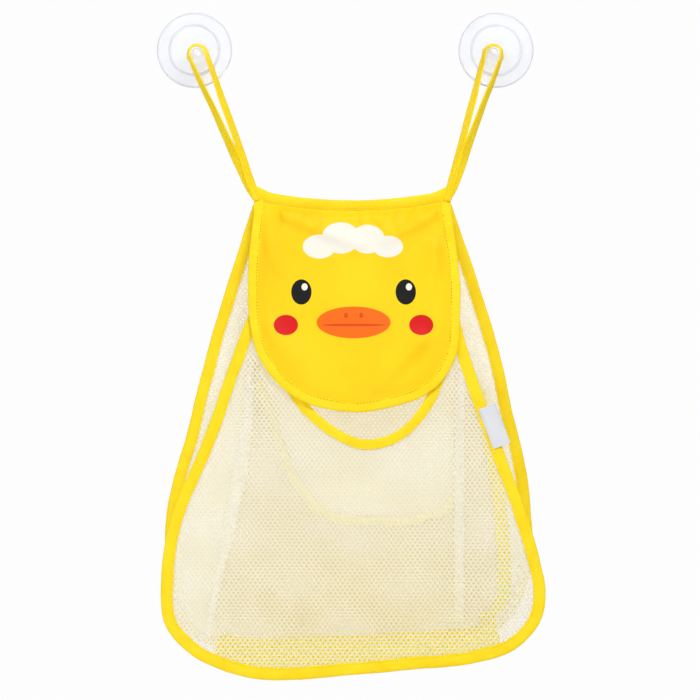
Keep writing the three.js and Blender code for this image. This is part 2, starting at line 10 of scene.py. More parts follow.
import bpy
import numpy as np
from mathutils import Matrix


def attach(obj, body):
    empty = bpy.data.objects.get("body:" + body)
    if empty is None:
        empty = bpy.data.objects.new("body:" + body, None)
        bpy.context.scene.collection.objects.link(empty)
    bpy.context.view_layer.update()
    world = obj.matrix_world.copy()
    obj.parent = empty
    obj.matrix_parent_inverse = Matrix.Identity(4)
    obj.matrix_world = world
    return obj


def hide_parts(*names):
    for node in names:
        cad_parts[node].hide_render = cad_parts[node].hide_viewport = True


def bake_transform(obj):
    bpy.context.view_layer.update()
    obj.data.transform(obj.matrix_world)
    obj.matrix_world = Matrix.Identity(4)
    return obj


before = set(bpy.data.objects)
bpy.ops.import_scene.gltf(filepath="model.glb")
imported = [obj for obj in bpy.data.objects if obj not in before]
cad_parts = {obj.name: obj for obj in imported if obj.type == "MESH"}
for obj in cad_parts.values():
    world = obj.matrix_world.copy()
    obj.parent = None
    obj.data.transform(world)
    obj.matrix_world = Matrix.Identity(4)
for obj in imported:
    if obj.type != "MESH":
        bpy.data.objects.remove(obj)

Array = np.ndarray
Colour = tuple[int, int, int]
Shares = tuple[tuple[float, float], ...]
Socket = bpy.types.NodeSocket

log = logging.getLogger("pouch")

SEED = 7
AHEAD = np.array([0.0, -1.0, 0.0])
SIDE_NAMES = {-1: "left", 1: "right"}

# How far below its cup's neck each loop's strands meet.
EYE_LENGTHS = {-1: 0.080, 1: 0.068}

# The name of the pieces' flat maps, and the nets' axes, lower left corner and size in theirs.
BAKE_MAP = "OFBake"
FRONT_AXES = (0, 2)
FLAT_LOW, FLAT_SPAN = (-0.15, -0.5), (0.4, 0.4)

# The pouch hangs in this area, and outlines are given as shares of its half width and its drop.
POUCH_CENTRE_X = 0.0054
POUCH_HALF_WIDTH = 0.147
POUCH_TOP = -0.124
POUCH_DROP = 0.366
TAPE_WIDTH = 0.0092
SCOOP_TAPE_WIDTH = 0.0078

# The height of the axes that the pouch swings and the flap lifts about.
HINGE_Z = -0.131

# The top binding, which sags between the loops.
HEADER_CENTRE_X = 0.0054
HEADER_HALF_WIDTH = 0.0755
HEADER_TOP = -0.1124
HEADER_HEIGHT = 0.0084
HEADER_SAG = 0.008

FRONT_SHARES: Shares = (
    (-0.377, 0.01), (-0.445, 0.112), (-0.52, 0.208), (-0.607, 0.295), (-0.786, 0.506),
    (-0.952, 0.673), (-0.995, 0.82), (-0.962, 0.893), (-0.841, 0.945), (-0.665, 0.98),
    (-0.499, 0.996), (-0.324, 0.999), (-0.099, 0.992), (0.305, 0.978), (0.644, 0.964),
    (0.846, 0.936), (0.972, 0.883), (1.006, 0.82), (0.978, 0.755), (0.932, 0.685),
    (0.824, 0.557), (0.715, 0.438), (0.619, 0.318), (0.572, 0.249), (0.494, 0.126),
    (0.385, 0.01),
)
SCOOP_SHARES: Shares = (
    (-0.491, 0.227), (-0.477, 0.270), (-0.449, 0.316), (-0.401, 0.365), (-0.313, 0.424),
    (-0.179, 0.480), (-0.054, 0.512), (0.067, 0.526), (0.208, 0.517), (0.321, 0.488),
    (0.439, 0.426), (0.482, 0.386), (0.546, 0.329), (0.579, 0.295),
)
BACK_SHARES: Shares = (
    (-0.537, 0), (-0.737, 0.253), (-0.823, 0.379), (-0.904, 0.511), (-0.969, 0.599),
    (-1.007, 0.681), (-1.013, 0.768), (-0.982, 0.863), (-0.907, 0.923), (-0.796, 0.954),
    (-0.581, 0.969), (-0.037, 0.964), (0.507, 0.952), (0.698, 0.943), (0.82, 0.917),
    (0.91, 0.87), (0.964, 0.805), (0.98, 0.74), (0.969, 0.667), (0.945, 0.579),
    (0.867, 0.446), (0.801, 0.325), (0.682, 0.168), (0.539, 0),
)
POCKET_SHARES: Shares = (
    (-0.556, 0.327), (-0.595, 0.493), (-0.659, 0.623), (-0.697, 0.728), (-0.74, 0.805),
    (-0.761, 0.88), (-0.703, 0.929), (-0.581, 0.94), (-0.037, 0.936), (0.507, 0.926),
    (0.678, 0.921), (0.786, 0.902), (0.848, 0.858), (0.858, 0.809), (0.841, 0.685),
    (0.793, 0.544), (0.732, 0.44), (0.671, 0.344),
)
MOUTH_SHARES: Shares = (
    (-0.505, 0.344), (-0.484, 0.381), (-0.424, 0.441), (-0.382, 0.497), (-0.333, 0.553),
    (-0.258, 0.611), (-0.178, 0.652), (-0.086, 0.669), (0.027, 0.676), (0.15, 0.678),
    (0.274, 0.678), (0.397, 0.669), (0.499, 0.652), (0.545, 0.622), (0.552, 0.491),
    (0.554, 0.359),
)
LEFT_HEM_SHARES: Shares = (
    (-0.556, 0.327), (-0.597, 0.493), (-0.657, 0.623), (-0.702, 0.728), (-0.742, 0.805),
    (-0.795, 0.94),
)
RIGHT_HEM_SHARES: Shares = ((0.577, 0.358), (0.578, 0.563), (0.577, 0.902))
FLAP_SHARES: Shares = (
    (-0.954, 0), (-0.999, 0.298), (-0.984, 0.53), (-0.916, 0.696), (-0.727, 0.85),
    (-0.511, 0.939), (-0.297, 0.978), (0.028, 1), (0.41, 0.967), (0.651, 0.919),
    (0.84, 0.835), (0.963, 0.705), (0.995, 0.53), (0.999, 0.338), (0.929, 0),
)


class Body(Enum):
    """The bodies of the frame that pieces ride on."""

    CUPS = "cups"
    STRAP_LEFT = "strap_left"
    STRAP_RIGHT = "strap_right"
    HEADER = "header"
    POUCH = "pouch"
    FLAP = "flap"


class Slot(Enum):
    """The record's material slots."""

    CLEAR_CUP = "clear_cup"
    YELLOW_TAPE = "yellow_tape"
    CREAM_NET = "cream_net"
    YELLOW_CLOTH = "yellow_cloth"
    PALE_TAPE = "pale_tape"
    WHITE_TAPE = "white_tape"


@dataclass(frozen=True)
class Bend:
    """How cloth turns from one body to the next.

    Args:
        upper: The body at its top. Not used.
        lower: The body further down. Not used.
        start: The height where it leaves the upper body. Not used.
        end: The height where it has joined the lower one. Not used.
    """

    upper: Body
    lower: Body
    start: float
    end: float


SWING = Bend(Body.HEADER, Body.POUCH, -0.119, HINGE_Z)
LIFT = Bend(Body.POUCH, Body.FLAP, HINGE_Z, -0.146)


def linear(colour: Colour) -> tuple[float, ...]:
    """Return a display colour, given from 0 to 255, in linear light and with full alpha."""
    shares = [value / 255 for value in colour]
    return *(s / 12.92 if s <= 0.04045 else ((s + 0.055) / 1.055) ** 2.4 for s in shares), 1.0


def unit(vectors: Array) -> Array:
    """Return the vectors at length one."""
    length = np.linalg.norm(vectors, axis=-1, keepdims=True)
    return vectors / np.maximum(length, 1e-12)


def ease(share: Array) -> Array:
    """Return a smooth step from 0 to 1 for shares from 0 to 1."""
    share = np.clip(share, 0, 1)
    return share * share * (3 - 2 * share)


def signed_power(values: Array, power: float) -> Array:
    """Return the values at a power, with their signs kept."""
    return np.sign(values) * np.abs(values) ** power


def smooth_line(points: Array, count: int, fine: int = 24) -> Array:
    """Draw a smooth line through points.

    Args:
        points: The points to pass through, one a row.
        count: How many even steps the line has.
        fine: How many steps each stretch is first drawn with.

    Returns:
        The line's points, count + 1 rows.
    """
    points = np.asarray(points, float)
    ends = (2 * points[0] - points[1], 2 * points[-1] - points[-2])
    p = np.vstack([ends[0], points, ends[1]])
    steps = np.sqrt(np.maximum(np.linalg.norm(np.diff(p, axis=0), axis=1), 1e-9))[:, None]
    d0, d1, d2 = steps[:-2], steps[1:-1], steps[2:]
    p0, p1, p2, p3 = p[:-3], p[1:-2], p[2:-1], p[3:]
    m1 = ((p1 - p0) / d0 - (p2 - p0) / (d0 + d1) + (p2 - p1) / d1) * d1
    m2 = ((p2 - p1) / d1 - (p3 - p1) / (d1 + d2) + (p3 - p2) / d2) * d1
    t = (np.arange(fine) / fine)[None, :, None]
    curve = p1[:, None] + m1[:, None] * t
    curve = curve + (3 * (p2 - p1) - 2 * m1 - m2)[:, None] * t ** 2
    curve = curve + (2 * (p1 - p2) + m1 + m2)[:, None] * t ** 3
    return even_steps(np.vstack([curve.reshape(-1, points.shape[1]), points[-1]]), count)


def run_lengths(line: Array) -> Array:
    """Return how far along a line each of its points is."""
    steps = np.linalg.norm(np.diff(line, axis=0), axis=1)
    return np.concatenate([[0], np.cumsum(steps)])


def sampled(run: Array, values: Array, wanted: Array) -> Array:
    """Return rows of values, known at lengths along a line, at other lengths along it."""
    return np.stack([np.interp(wanted, run, column) for column in values.T], axis=1)


def even_steps(line: Array, count: int, start: float = 0, end: float = 1) -> Array:
    """Redraw a line, or a part of it, in even steps.

    Args:
        line: The line's points.
        count: How many steps the new line has.
        start: The share of the length where the new line starts.
        end: The share where it ends.

    Returns:
        The new line's points, count + 1 rows.
    """
    run = run_lengths(line)
    return sampled(run, line, run[-1] * np.linspace(start, end, count + 1))


def tangents(line: Array) -> Array:
    """Return a line's direction at each of its points."""
    return unit(np.gradient(line, axis=0))


def sideways(line: Array, facing: Array) -> Array:
    """Return the direction in the cloth beside a line, upwards where it runs to the right."""
    return unit(np.cross(facing, tangents(line)))


def inside(polygon: Array, places: Array) -> Array:
    """Say which places lie inside a polygon.

    Args:
        polygon: Corners as rows of two numbers.
        places: Places as rows of two numbers.

    Returns:
        One truth value for each place.
    """
    found = np.zeros(len(places), bool)
    for (ax, az), (bx, bz) in zip(polygon, np.roll(polygon, -1, axis=0)):
        crosses = (az > places[:, 1]) != (bz > places[:, 1])
        if abs(bz - az) > 1e-12:
            at = ax + (places[:, 1] - az) * (bx - ax) / (bz - az)
            found ^= crosses & (places[:, 0] < at)
    return found


def nearest(line: Array, places: Array) -> Array:
    """Return each place's distance to the nearest point of a line."""
    gap = places[:, None, :] - line[None, :, :]
    return np.sqrt((gap ** 2).sum(axis=2).min(axis=1))


@dataclass(frozen=True)
class Area:
    """A piece of the front view that outlines are drawn in as shares.

    Args:
        centre_x: The middle in X.
        half_width: Half the width.
        top: The height of the top.
        drop: How far the area reaches down.
    """

    centre_x: float
    half_width: float
    top: float
    drop: float

    def line(self, shares: Shares, count: int) -> Array:
        """Draw a smooth outline.

        Args:
            shares: Across and down shares of the outline's points.
            count: How many even steps it gets.

        Returns:
            The outline's X and Z.
        """
        points = [
            (self.centre_x + self.half_width * across, self.top - self.drop * down)
            for across, down in shares
        ]
        return smooth_line(np.array(points), count)


POUCH_AREA = Area(POUCH_CENTRE_X, POUCH_HALF_WIDTH, POUCH_TOP, POUCH_DROP)
FLAP_AREA = Area(0.0069, 0.0835, -0.1316, 0.1564)


@dataclass(frozen=True)
class Face:
    """The plane that a cloth of the pouch hangs in, which may lean away from the wall.

    Args:
        top_depth: How far the cloth is from the wall at the pouch's top.
        base_depth: How far it is from the wall at the pouch's base.
        stand_off: How far it lies in front of that plane.
    """

    top_depth: float
    base_depth: float
    stand_off: float = 0.0

    def depth(self, x: Array, z: Array) -> Array:
        """Return the Y of the cloth at places of the front view."""
        share = (POUCH_TOP - z) / POUCH_DROP
        lean = (self.base_depth - self.top_depth) * share
        return -(self.top_depth + lean) - self.stand_off + 0 * x

    def laid(self, line: Array) -> Array:
        """Lay X and Z points on the cloth."""
        return np.stack([line[:, 0], self.depth(line[:, 0], line[:, 1]), line[:, 1]], axis=1)

    def facing(self, line: Array, probe: float = 1e-3) -> Array:
        """Return the direction that looks out of the cloth at each point of a line.

        Args:
            line: Points on the cloth.
            probe: The distance over which the slope is measured.

        Returns:
            One direction for each point, towards the viewer.
        """
        x, z = line[:, 0], line[:, 2]
        here = self.depth(x, z)
        slope_x = (self.depth(x + probe, z) - here) / probe
        slope_z = (self.depth(x, z + probe) - here) / probe
        return unit(np.stack([slope_x, -np.ones_like(x), slope_z], axis=1))

    def inset(self, line: Array, distance: float) -> Array:
        """Move a line in the cloth, upwards where it runs to the viewer's right.

        Args:
            line: Points on the cloth.
            distance: How far the line moves.

        Returns:
            The moved line, on the cloth.
        """
        moved = line + sideways(line, self.facing(line)) * distance
        return self.laid(moved[:, FRONT_AXES])


@dataclass(frozen=True)
class PocketFace(Face):
    """The inner pocket's net, which stands out from the back panel in the middle.

    Args:
        centre_x: The bulge's middle in X.
        half_width: Half its width.
        top: The height above which it is full.
        drop: How far below that height it ends.
        bulge: How far it stands out.
    """

    centre_x: float = 0.014
    half_width: float = 0.122
    top: float = -0.240
    drop: float = 0.228
    bulge: float = 0.012

    def depth(self, x: Array, z: Array) -> Array:
        """Return the Y of the pocket's net at places of the front view."""
        across = np.minimum(1, np.abs(x - self.centre_x) / self.half_width)
        up = np.maximum(0, 1 - (self.top - z) / self.drop)
        swell = (1 - across * across) * np.minimum(1, up)
        return super().depth(x, z) - self.bulge * swell


def header_edge(x: Array) -> Array:
    """Return the height of the top binding's lower edge at places along it."""
    share = (x - HEADER_CENTRE_X) / HEADER_HALF_WIDTH
    return HEADER_TOP - HEADER_HEIGHT - HEADER_SAG * (1 - share * share)


@dataclass(frozen=True)
class HungFace(Face):
    """A cloth that comes out from under the top binding.

    Args:
        tuck: How far it is from the wall under the binding.
        reach: How far below the binding it has come out.
    """

    tuck: float = 0.0076
    reach: float = 0.010

    def depth(self, x: Array, z: Array) -> Array:
        """Return the Y of the cloth at places of the front view."""
        share = ease((header_edge(x) - z) / self.reach)
        return -self.tuck * (1 - share) + super().depth(x, z) * share


FRONT_FACE = HungFace(0.0099, 0.086, tuck=0.0085)
BACK_FACE = Face(0.007, 0.007)
FLAP_FACE = HungFace(0.0099, 0.086, 0.0032, 0.0089, 0.007)
POCKET_FACE = PocketFace(0.007, 0.007, 0.0021)

SHARP_ANGLE = math.radians(62)


def mesh_object(name: str, places: Array, faces: Array | list,
                finish: "Finish") -> bpy.types.Object:
    """Make a smooth shaded mesh object.

    Args:
        name: The piece's name.
        places: Its vertices, one a row.
        faces: Its faces, as rows of vertex numbers.
        finish: What it is made of.

    Returns:
        The new object.
    """
    mesh = bpy.data.meshes.new(name)
    rows = faces.tolist() if isinstance(faces, np.ndarray) else faces
    mesh.from_pydata(places.tolist(), [], rows)
    mesh.update()
    mesh.shade_smooth()
    mesh.set_sharp_from_angle(angle=SHARP_ANGLE)
    made = bpy.data.objects.new(name, mesh)
    bpy.context.scene.collection.objects.link(made)
    made.data.materials.append(finish.material())
    return made


def ring_faces(rings: int, size: int) -> Array:
    """Return the quads between closed rings of points."""
    ring, k = np.meshgrid(np.arange(rings - 1), np.arange(size), indexing="ij")
    here, after = ring * size, (ring + 1) * size
    turn = (k + 1) % size
    return np.stack([here + k, here + turn, after + turn, after + k], axis=-1).reshape(-1, 4)


def grid_faces(rows: int, columns: int) -> Array:
    """Return the quads of an open grid of points."""
    row, column = np.meshgrid(np.arange(rows - 1), np.arange(columns - 1), indexing="ij")
    at = row * columns + column
    return np.stack([at, at + columns, at + columns + 1, at + 1], axis=-1).reshape(-1, 4)


def planar_map(made: bpy.types.Object, axes: tuple[int, int], low: tuple[float, float],
               size: tuple[float, float]) -> None:
    """Give a piece a flat map, so that it needs no unwrapping.

    Args:
        made: The piece.
        axes: The two axes that the map uses.
        low: The place that is the map's lower left corner.
        size: The map's width and height in metres.
    """
    mesh = made.data
    places = np.zeros(len(mesh.vertices) * 3)
    mesh.vertices.foreach_get("co", places)
    corners = np.zeros(len(mesh.loops), int)
    mesh.loops.foreach_get("vertex_index", corners)
    flat = (places.reshape(-1, 3)[:, axes] - low) / size
    layer = mesh.uv_layers.new(name=BAKE_MAP)
    layer.data.foreach_set("uv", flat[corners].ravel())


def dress(made: bpy.types.Object, ride: Body | Bend,
          replaced: tuple[str, ...] = ()) -> None:
    """Put a piece on its body, or fix it in place on no body where it is given a bend, and put it in
    place of its plain nodes.

    Args:
        made: The piece.
        ride: The body that it rides on, or the bend between two bodies.
        replaced: The nodes that it stands for.
    """
    if isinstance(ride, Bend):
        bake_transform(made)
    else:
        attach(made, ride.value)
    if replaced:
        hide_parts(*replaced)
    log.info("%s: %d faces", made.name, len(made.data.polygons))


@dataclass(frozen=True)
class Graph:
    """The nodes of a material or of the surround.

    Args:
        tree: The node tree.
    """

    tree: bpy.types.NodeTree

    def feed(self, node: bpy.types.Node, inputs: dict[str | int, object]) -> None:
        """Set a node's inputs.

        Args:
            node: The node.
            inputs: A value, or a socket that feeds it, for each input by its name or number.
        """
        for key, given in inputs.items():
            if isinstance(given, Socket):
                self.tree.links.new(given, node.inputs[key])
            else:
                node.inputs[key].default_value = given

    def add(self, kind: str, inputs: dict[str | int, object], output: str | int = 0,
            **settings: str) -> Socket:
        """Add a node.

        Args:
            kind: Its type, without the word in front that all shader nodes share.
            inputs: Its inputs, as feed takes them.
            output: The name or number of the output that is wanted.
            **settings: Its own settings, such as its operation.

        Returns:
            The wanted output's socket.
        """
        node = self.tree.nodes.new("ShaderNode" + kind)
        for key, given in settings.items():
            setattr(node, key, given)
        self.feed(node, inputs)
        return node.outputs[output]


# The gloss of cloth and of plastic, the soft patches' detail and where their mix starts and ends,
# and how much a thread wavers.
CLOTH_GLOSS, PLASTIC_GLOSS = 0.15, 0.5
PATCH_DETAIL = 3
PATCH_SPREAD = (0.35, 0.75)
THREAD_WAVER = 0.4


@dataclass(frozen=True)
class Finish:
    """What a piece is made of.

    Args:
        name: The material's name.
        colour: Its main colour.
        shade: A second colour, in soft patches.
        roughness: The surface's roughness.
        grain: The distance between the grains or threads.
        relief: How strongly they stand out.
        patch: The size of the soft patches.
        sheen: How much the fibres' edges catch the light.
        through: The share of the light that passes through the cloth.
    """

    name: str
    colour: Colour
    shade: Colour
    roughness: float = 0.8
    grain: float = 0.0007
    relief: float = 0.25
    patch: float = 0.02
    sheen: float = 0.02
    through: float = 0.0

    def material(self) -> bpy.types.Material:
        """Return the material, made at its first use."""
        known = bpy.data.materials.get(self.name)
        return known if known else self.make()

    def start(self) -> tuple[Graph, bpy.types.Node, Socket]:
        """Start the material.

        Returns:
            Its nodes, its shader and the socket that gives places on the piece.
        """
        made = bpy.data.materials.new(self.name)
        made.use_nodes = True
        graph = Graph(made.node_tree)
        shader = made.node_tree.nodes["Principled BSDF"]
        graph.feed(shader, {"Roughness": self.roughness, "Specular IOR Level": CLOTH_GLOSS,
                            "Sheen Weight": self.sheen})
        return graph, shader, graph.add("TexCoord", {}, "Object")

    def patches(self, graph: Graph, place: Socket) -> Socket:
        """Mix the two colours in soft patches.

        Args:
            graph: The material's nodes.
            place: The socket that gives places.

        Returns:
            The colour's socket.
        """
        noise = graph.add("TexNoise", {"Vector": place, "Scale": 1 / self.patch,
                                       "Detail": PATCH_DETAIL}, "Fac")
        low, high = PATCH_SPREAD
        share = graph.add("MapRange", {"Value": noise, "From Min": low, "From Max": high},
                          "Result")
        return graph.add("Mix", {"Factor": share, "A": linear(self.colour),
                                 "B": linear(self.shade)}, "Result", data_type="RGBA")

    def texture(self, graph: Graph, place: Socket) -> Socket:
        """Return the height of a fine grain at places on the piece."""
        return graph.add("TexNoise", {"Vector": place, "Scale": 1 / self.grain}, "Fac")

    def colour_in(self, graph: Graph, shader: bpy.types.Node, place: Socket) -> None:
        """Colour the shader in patches, and let light through where the cloth is thin.

        Args:
            graph: The material's nodes.
            shader: The shader of the cloth's face.
            place: The socket that gives places.
        """
        colour = self.patches(graph, place)
        graph.feed(shader, {"Base Color": colour})
        if self.through:
            glow = graph.add("BsdfTranslucent", {"Color": colour}, "BSDF")
            mix = graph.add("MixShader", {"Fac": self.through, 1: shader.outputs["BSDF"],
                                          2: glow}, "Shader")
            graph.feed(graph.tree.nodes["Material Output"], {"Surface": mix})

    def make(self) -> bpy.types.Material:
        """Return a new material with its colours and a relief of its texture."""
        graph, shader, place = self.start()
        self.colour_in(graph, shader, place)
        height = self.texture(graph, place)
        bump = graph.add("Bump", {"Strength": self.relief, "Distance": self.grain / 2,
                                  "Height": height}, "Normal")
        graph.feed(shader, {"Normal": bump})
        return bpy.data.materials[self.name]


@dataclass(frozen=True)
class Woven(Finish):
    """A cloth or tape with crossing threads."""

    def texture(self, graph: Graph, place: Socket) -> Socket:
        """Return the height of two sets of crossing threads at places on the piece."""
        inputs = {"Vector": place, "Scale": math.pi / (10 * self.grain),
                  "Distortion": THREAD_WAVER}
        first, second = (graph.add("TexWave", inputs, "Fac", bands_direction=direction)
                         for direction in ("X", "Z"))
        return graph.add("Math", {0: first, 1: second}, "Value", operation="ADD")


@dataclass(frozen=True)
class ClearPlastic(Finish):
    """Clear soft plastic with a faint haze.

    Args:
        haze: The share of the light that the plastic keeps.
        refraction: Its index of refraction.
    """

    haze: float = 0.25
    refraction: float = 1.25

    def colour_in(self, graph: Graph, shader: bpy.types.Node, place: Socket) -> None:
        """Colour the shader and let all light through but what the haze keeps."""
        graph.feed(shader, {
            "Base Color": self.patches(graph, place), "Transmission Weight": 1 - self.haze,
            "IOR": self.refraction, "Specular IOR Level": PLASTIC_GLOSS,
        })


@dataclass(frozen=True)
class Spot:
    """One oval of the flap's print.

    Args:
        centre: Its middle, from the print's middle.
        radii: Half its width and half its height.
        colour: Its colour.
    """

    centre: tuple[float, float]
    radii: tuple[float, float]
    colour: Colour


FOAM_WHITE = (238, 234, 221)
INK = (9, 9, 11)
ORANGE = (254, 107, 20)
DEEP_ORANGE = (214, 74, 14)
RED = (212, 22, 25)

# The bird's face: a cap of foam, then a cheek, an eye and its gleam on each side, then the bill
# with its mouth line and nostrils.
FACE_SPOTS = (
    Spot((-0.027, 0.030), (0.0130, 0.0095), FOAM_WHITE),
    Spot((-0.010, 0.037), (0.0150, 0.0125), FOAM_WHITE),
    Spot((0.011, 0.036), (0.0135, 0.0115), FOAM_WHITE),
    Spot((0.027, 0.030), (0.0120, 0.0085), FOAM_WHITE),
    Spot((-0.053, -0.032), (0.0095, 0.0080), RED),
    Spot((0.053, -0.032), (0.0095, 0.0080), RED),
    Spot((-0.041, -0.006), (0.0080, 0.0100), INK),
    Spot((0.041, -0.006), (0.0080, 0.0100), INK),
    Spot((-0.0385, -0.002), (0.0024, 0.0028), FOAM_WHITE),
    Spot((0.0435, -0.002), (0.0024, 0.0028), FOAM_WHITE),
    Spot((0, -0.030), (0.0290, 0.0125), ORANGE),
    Spot((0, -0.032), (0.0250, 0.0011), DEEP_ORANGE),
    Spot((-0.006, -0.0245), (0.0015, 0.0022), DEEP_ORANGE),
    Spot((0.006, -0.0245), (0.0015, 0.0022), DEEP_ORANGE),
)


@dataclass(frozen=True)
class Print(Woven):
    """Woven cloth with a generic bird's face printed on it, in ovals from the rear to the front.

    Args:
        centre: The print's middle in X and Z.
        low: The lower left corner of the cloth's flat map.
        span: The flat map's width and height.
        soft: How much of an oval's radius its edge fades over.
    """

    centre: tuple[float, float] = (0.0066, -0.188)
    low: tuple[float, float] = (-0.08, -0.29)
    span: tuple[float, float] = (0.17, 0.17)
    soft: float = 0.012

    def covered(self, graph: Graph, flat: Socket, spot: Spot) -> Socket:
        """Say where an oval lies.

        Args:
            graph: The material's nodes.
            flat: The socket that gives the place in the flat map.
            spot: The oval.

        Returns:
            A socket that is 1 inside the oval.
        """
        middle = [
            (self.centre[k] + spot.centre[k] - self.low[k]) / self.span[k] for k in (0, 1)
        ]
        radii = [spot.radii[k] / self.span[k] for k in (0, 1)]
        offset = graph.add("VectorMath", {0: flat, 1: (*middle, 0)}, operation="SUBTRACT")
        scaled = graph.add("VectorMath", {0: offset, 1: (*radii, 1)}, operation="DIVIDE")
        length = graph.add("VectorMath", {0: scaled}, "Value", operation="LENGTH")
        return graph.add("MapRange", {"Value": length, "From Min": 1 + self.soft,
                                      "From Max": 1 - self.soft}, "Result")

    def patches(self, graph: Graph, place: Socket) -> Socket:
        """Return the socket of the cloth's colour with the face over it."""
        ground = super().patches(graph, place)
        flat = graph.add("UVMap", {}, "UV", uv_map=BAKE_MAP)
        for spot in FACE_SPOTS:
            inputs = {"Factor": self.covered(graph, flat, spot), "A": ground,
                      "B": linear(spot.colour)}
            ground = graph.add("Mix", inputs, "Result", data_type="RGBA")
        return ground


# After the name and the two colours come the roughness, the grain, the relief and the patches.
TAPE = Woven("tape_yellow", (252, 223, 36), (249, 213, 24), 0.72, 0.0006, 0.3)
CLOTH = Woven("cloth_yellow", (250, 210, 20), (245, 199, 10), 0.5, 0.0004, 0.15, 0.05)
FACE_PRINT = Print("cloth_face", CLOTH.colour, CLOTH.shade, 0.5, 0.0004, 0.15, 0.05)
FLOOR_CLOTH = Woven("cloth_base", (255, 246, 104), (254, 242, 76), 0.75, 0.0005, through=0.5)
THREAD = Finish("thread_yellow", (232, 190, 4), (222, 178, 2), 0.6, 0.0003)
# The flap's thread is darker than the other threads: partly a darker thread, partly painted shade for
# the shadow line along the inner edge of the flap's binding.
SEAM_SHADE_THREAD = Finish("thread_dark_seam_shade", (196, 156, 6), (184, 144, 4), 0.6, 0.0003)
PALE_THREAD = Finish("thread_pale", (252, 246, 224), (248, 240, 212), 0.7, 0.0003)
FRONT_NET = Finish("net_front", (247, 244, 234), (244, 241, 227), 0.85, 0.0005, 0.3, through=0.45)
BACK_NET = Finish("net_back", (244, 238, 212), (241, 233, 201), 0.9, 0.0005, 0.3, through=0.45)
SIDE_NET = Finish("net_side", (255, 254, 250), (254, 253, 247), 0.9, 0.0005, 0.3, through=0.55)
PALE_TAPE = Woven("tape_pale", (255, 255, 254), (255, 254, 251), 0.8, 0.0006, 0.3, through=0.05)
EDGING = Woven("tape_edging", (255, 250, 200), (254, 248, 184), 0.8, 0.0006, 0.3, through=0.05)
INNER_TAPE = Woven("tape_inner", (255, 242, 104), (254, 237, 84), 0.75, 0.0006, 0.3, through=0.1)
RIBBON = Woven("ribbon_white", (218, 220, 224), (212, 215, 220), 0.45, 0.0004, 0.2)
PLASTIC = ClearPlastic("plastic_clear", (250, 251, 254), (244, 246, 252), 0.08, 0.02, 0.04, 0.03,
                       sheen=0)
# The rim's plastic is greyer and hazier than the rest: painted shade for the dark edge that refraction
# gives the clear rim. Its refraction is real.
CUP_RIM_SHADE = ClearPlastic("plastic_rim_painted_shade", (219, 220, 228), (212, 213, 222), 0.15, 0.02, 0.04, 0.03,
                       sheen=0, haze=0.7)
# The moulded ring's plastic is greyer and hazier too: painted shade for the faint line that refraction
# draws along the ring. Its ridge and refraction are real.
CUP_RING_SHADE = ClearPlastic("plastic_ring_painted_shade", (226, 227, 234), (218, 219, 228), 0.1, 0.02, 0.04, 0.03,
                        sheen=0, haze=0.45)
CLEAR = ClearPlastic("plastic_clearest", (254, 254, 255), (251, 252, 255), 0.04, 0.02, 0.02, 0.03,
                     sheen=0, haze=0.02, refraction=1.04)


def wander(run: Array, scale: float, phase: float) -> Array:
    """Return a soft irregular wave along a length.

    Args:
        run: How far along each point is.
        scale: The length of the longest swell.
        phase: What tells one wave from another.

    Returns:
        Values from about -1 to 1.
    """
    turns = 2 * math.pi * run / scale
    wave = np.sin(turns + phase) + 0.6 * np.sin(2.3 * turns + 1.7 * phase)
    return (wave + 0.4 * np.sin(5.1 * turns + 2.9 * phase)) / 2


def grid_normals(grid: Array) -> Array:
    """Return a grid's directions towards the wall, for rows that run from the top down."""
    down, right = np.gradient(grid, axis=0), np.gradient(grid, axis=1)
    return unit(np.cross(right, -down))


def thick_sheet(
    name: str, grid: Array, thickness: float, front: Finish, rear: Finish,
    normal: Array | None = None,
) -> bpy.types.Object:
    """Make cloth of an even thickness on both sides of a grid of points.

    Args:
        name: The piece's name.
        grid: Rows and columns of points. The rows run to the viewer's right, from the top down.
        thickness: The cloth's thickness.
        front: The finish of the side that faces the viewer.
        rear: The finish of the other side.
        normal: The direction through the cloth at each point, where the grid doesn't give it.

    Returns:
        The new object.
    """
    rows, columns = grid.shape[:2]
    normal = grid_normals(grid) if normal is None else normal
    sides = [(grid + normal * side * thickness / 2).reshape(-1, 3) for side in (-1, 1)]
    near = grid_faces(rows, columns)
    far = near[:, ::-1] + rows * columns
    border = np.concatenate([
        np.arange(columns), np.arange(1, rows) * columns + columns - 1,
        (rows - 1) * columns + np.arange(columns - 2, -1, -1),
        np.arange(rows - 2, 0, -1) * columns,
    ])
    after = np.roll(border, -1)
    rim = np.stack([border, after, after + rows * columns, border + rows * columns], axis=1)
    faces = np.vstack([near, far, rim])
    made = mesh_object(name, np.vstack(sides), faces, front)
    made.data.materials.append(rear.material())
    mean_y = [side[:, 1].mean() for side in sides]
    rear_faces = slice(0, len(near)) if mean_y[0] > mean_y[1] else slice(len(near), 2 * len(near))
    index = np.zeros(len(faces), int)
    index[rear_faces] = 1
    made.data.polygons.foreach_set("material_index", index)
    return made


def swept(rings: Array) -> tuple[Array, list]:
    """Join rings of points into a closed tube with flat ends.

    Args:
        rings: One ring of points for each step.

    Returns:
        The vertices and the faces.
    """
    count, size = rings.shape[:2]
    faces = ring_faces(count, size).tolist()
    faces.append(list(range(size - 1, -1, -1)))
    faces.append(list(range((count - 1) * size, count * size)))
    return rings.reshape(-1, 3), faces


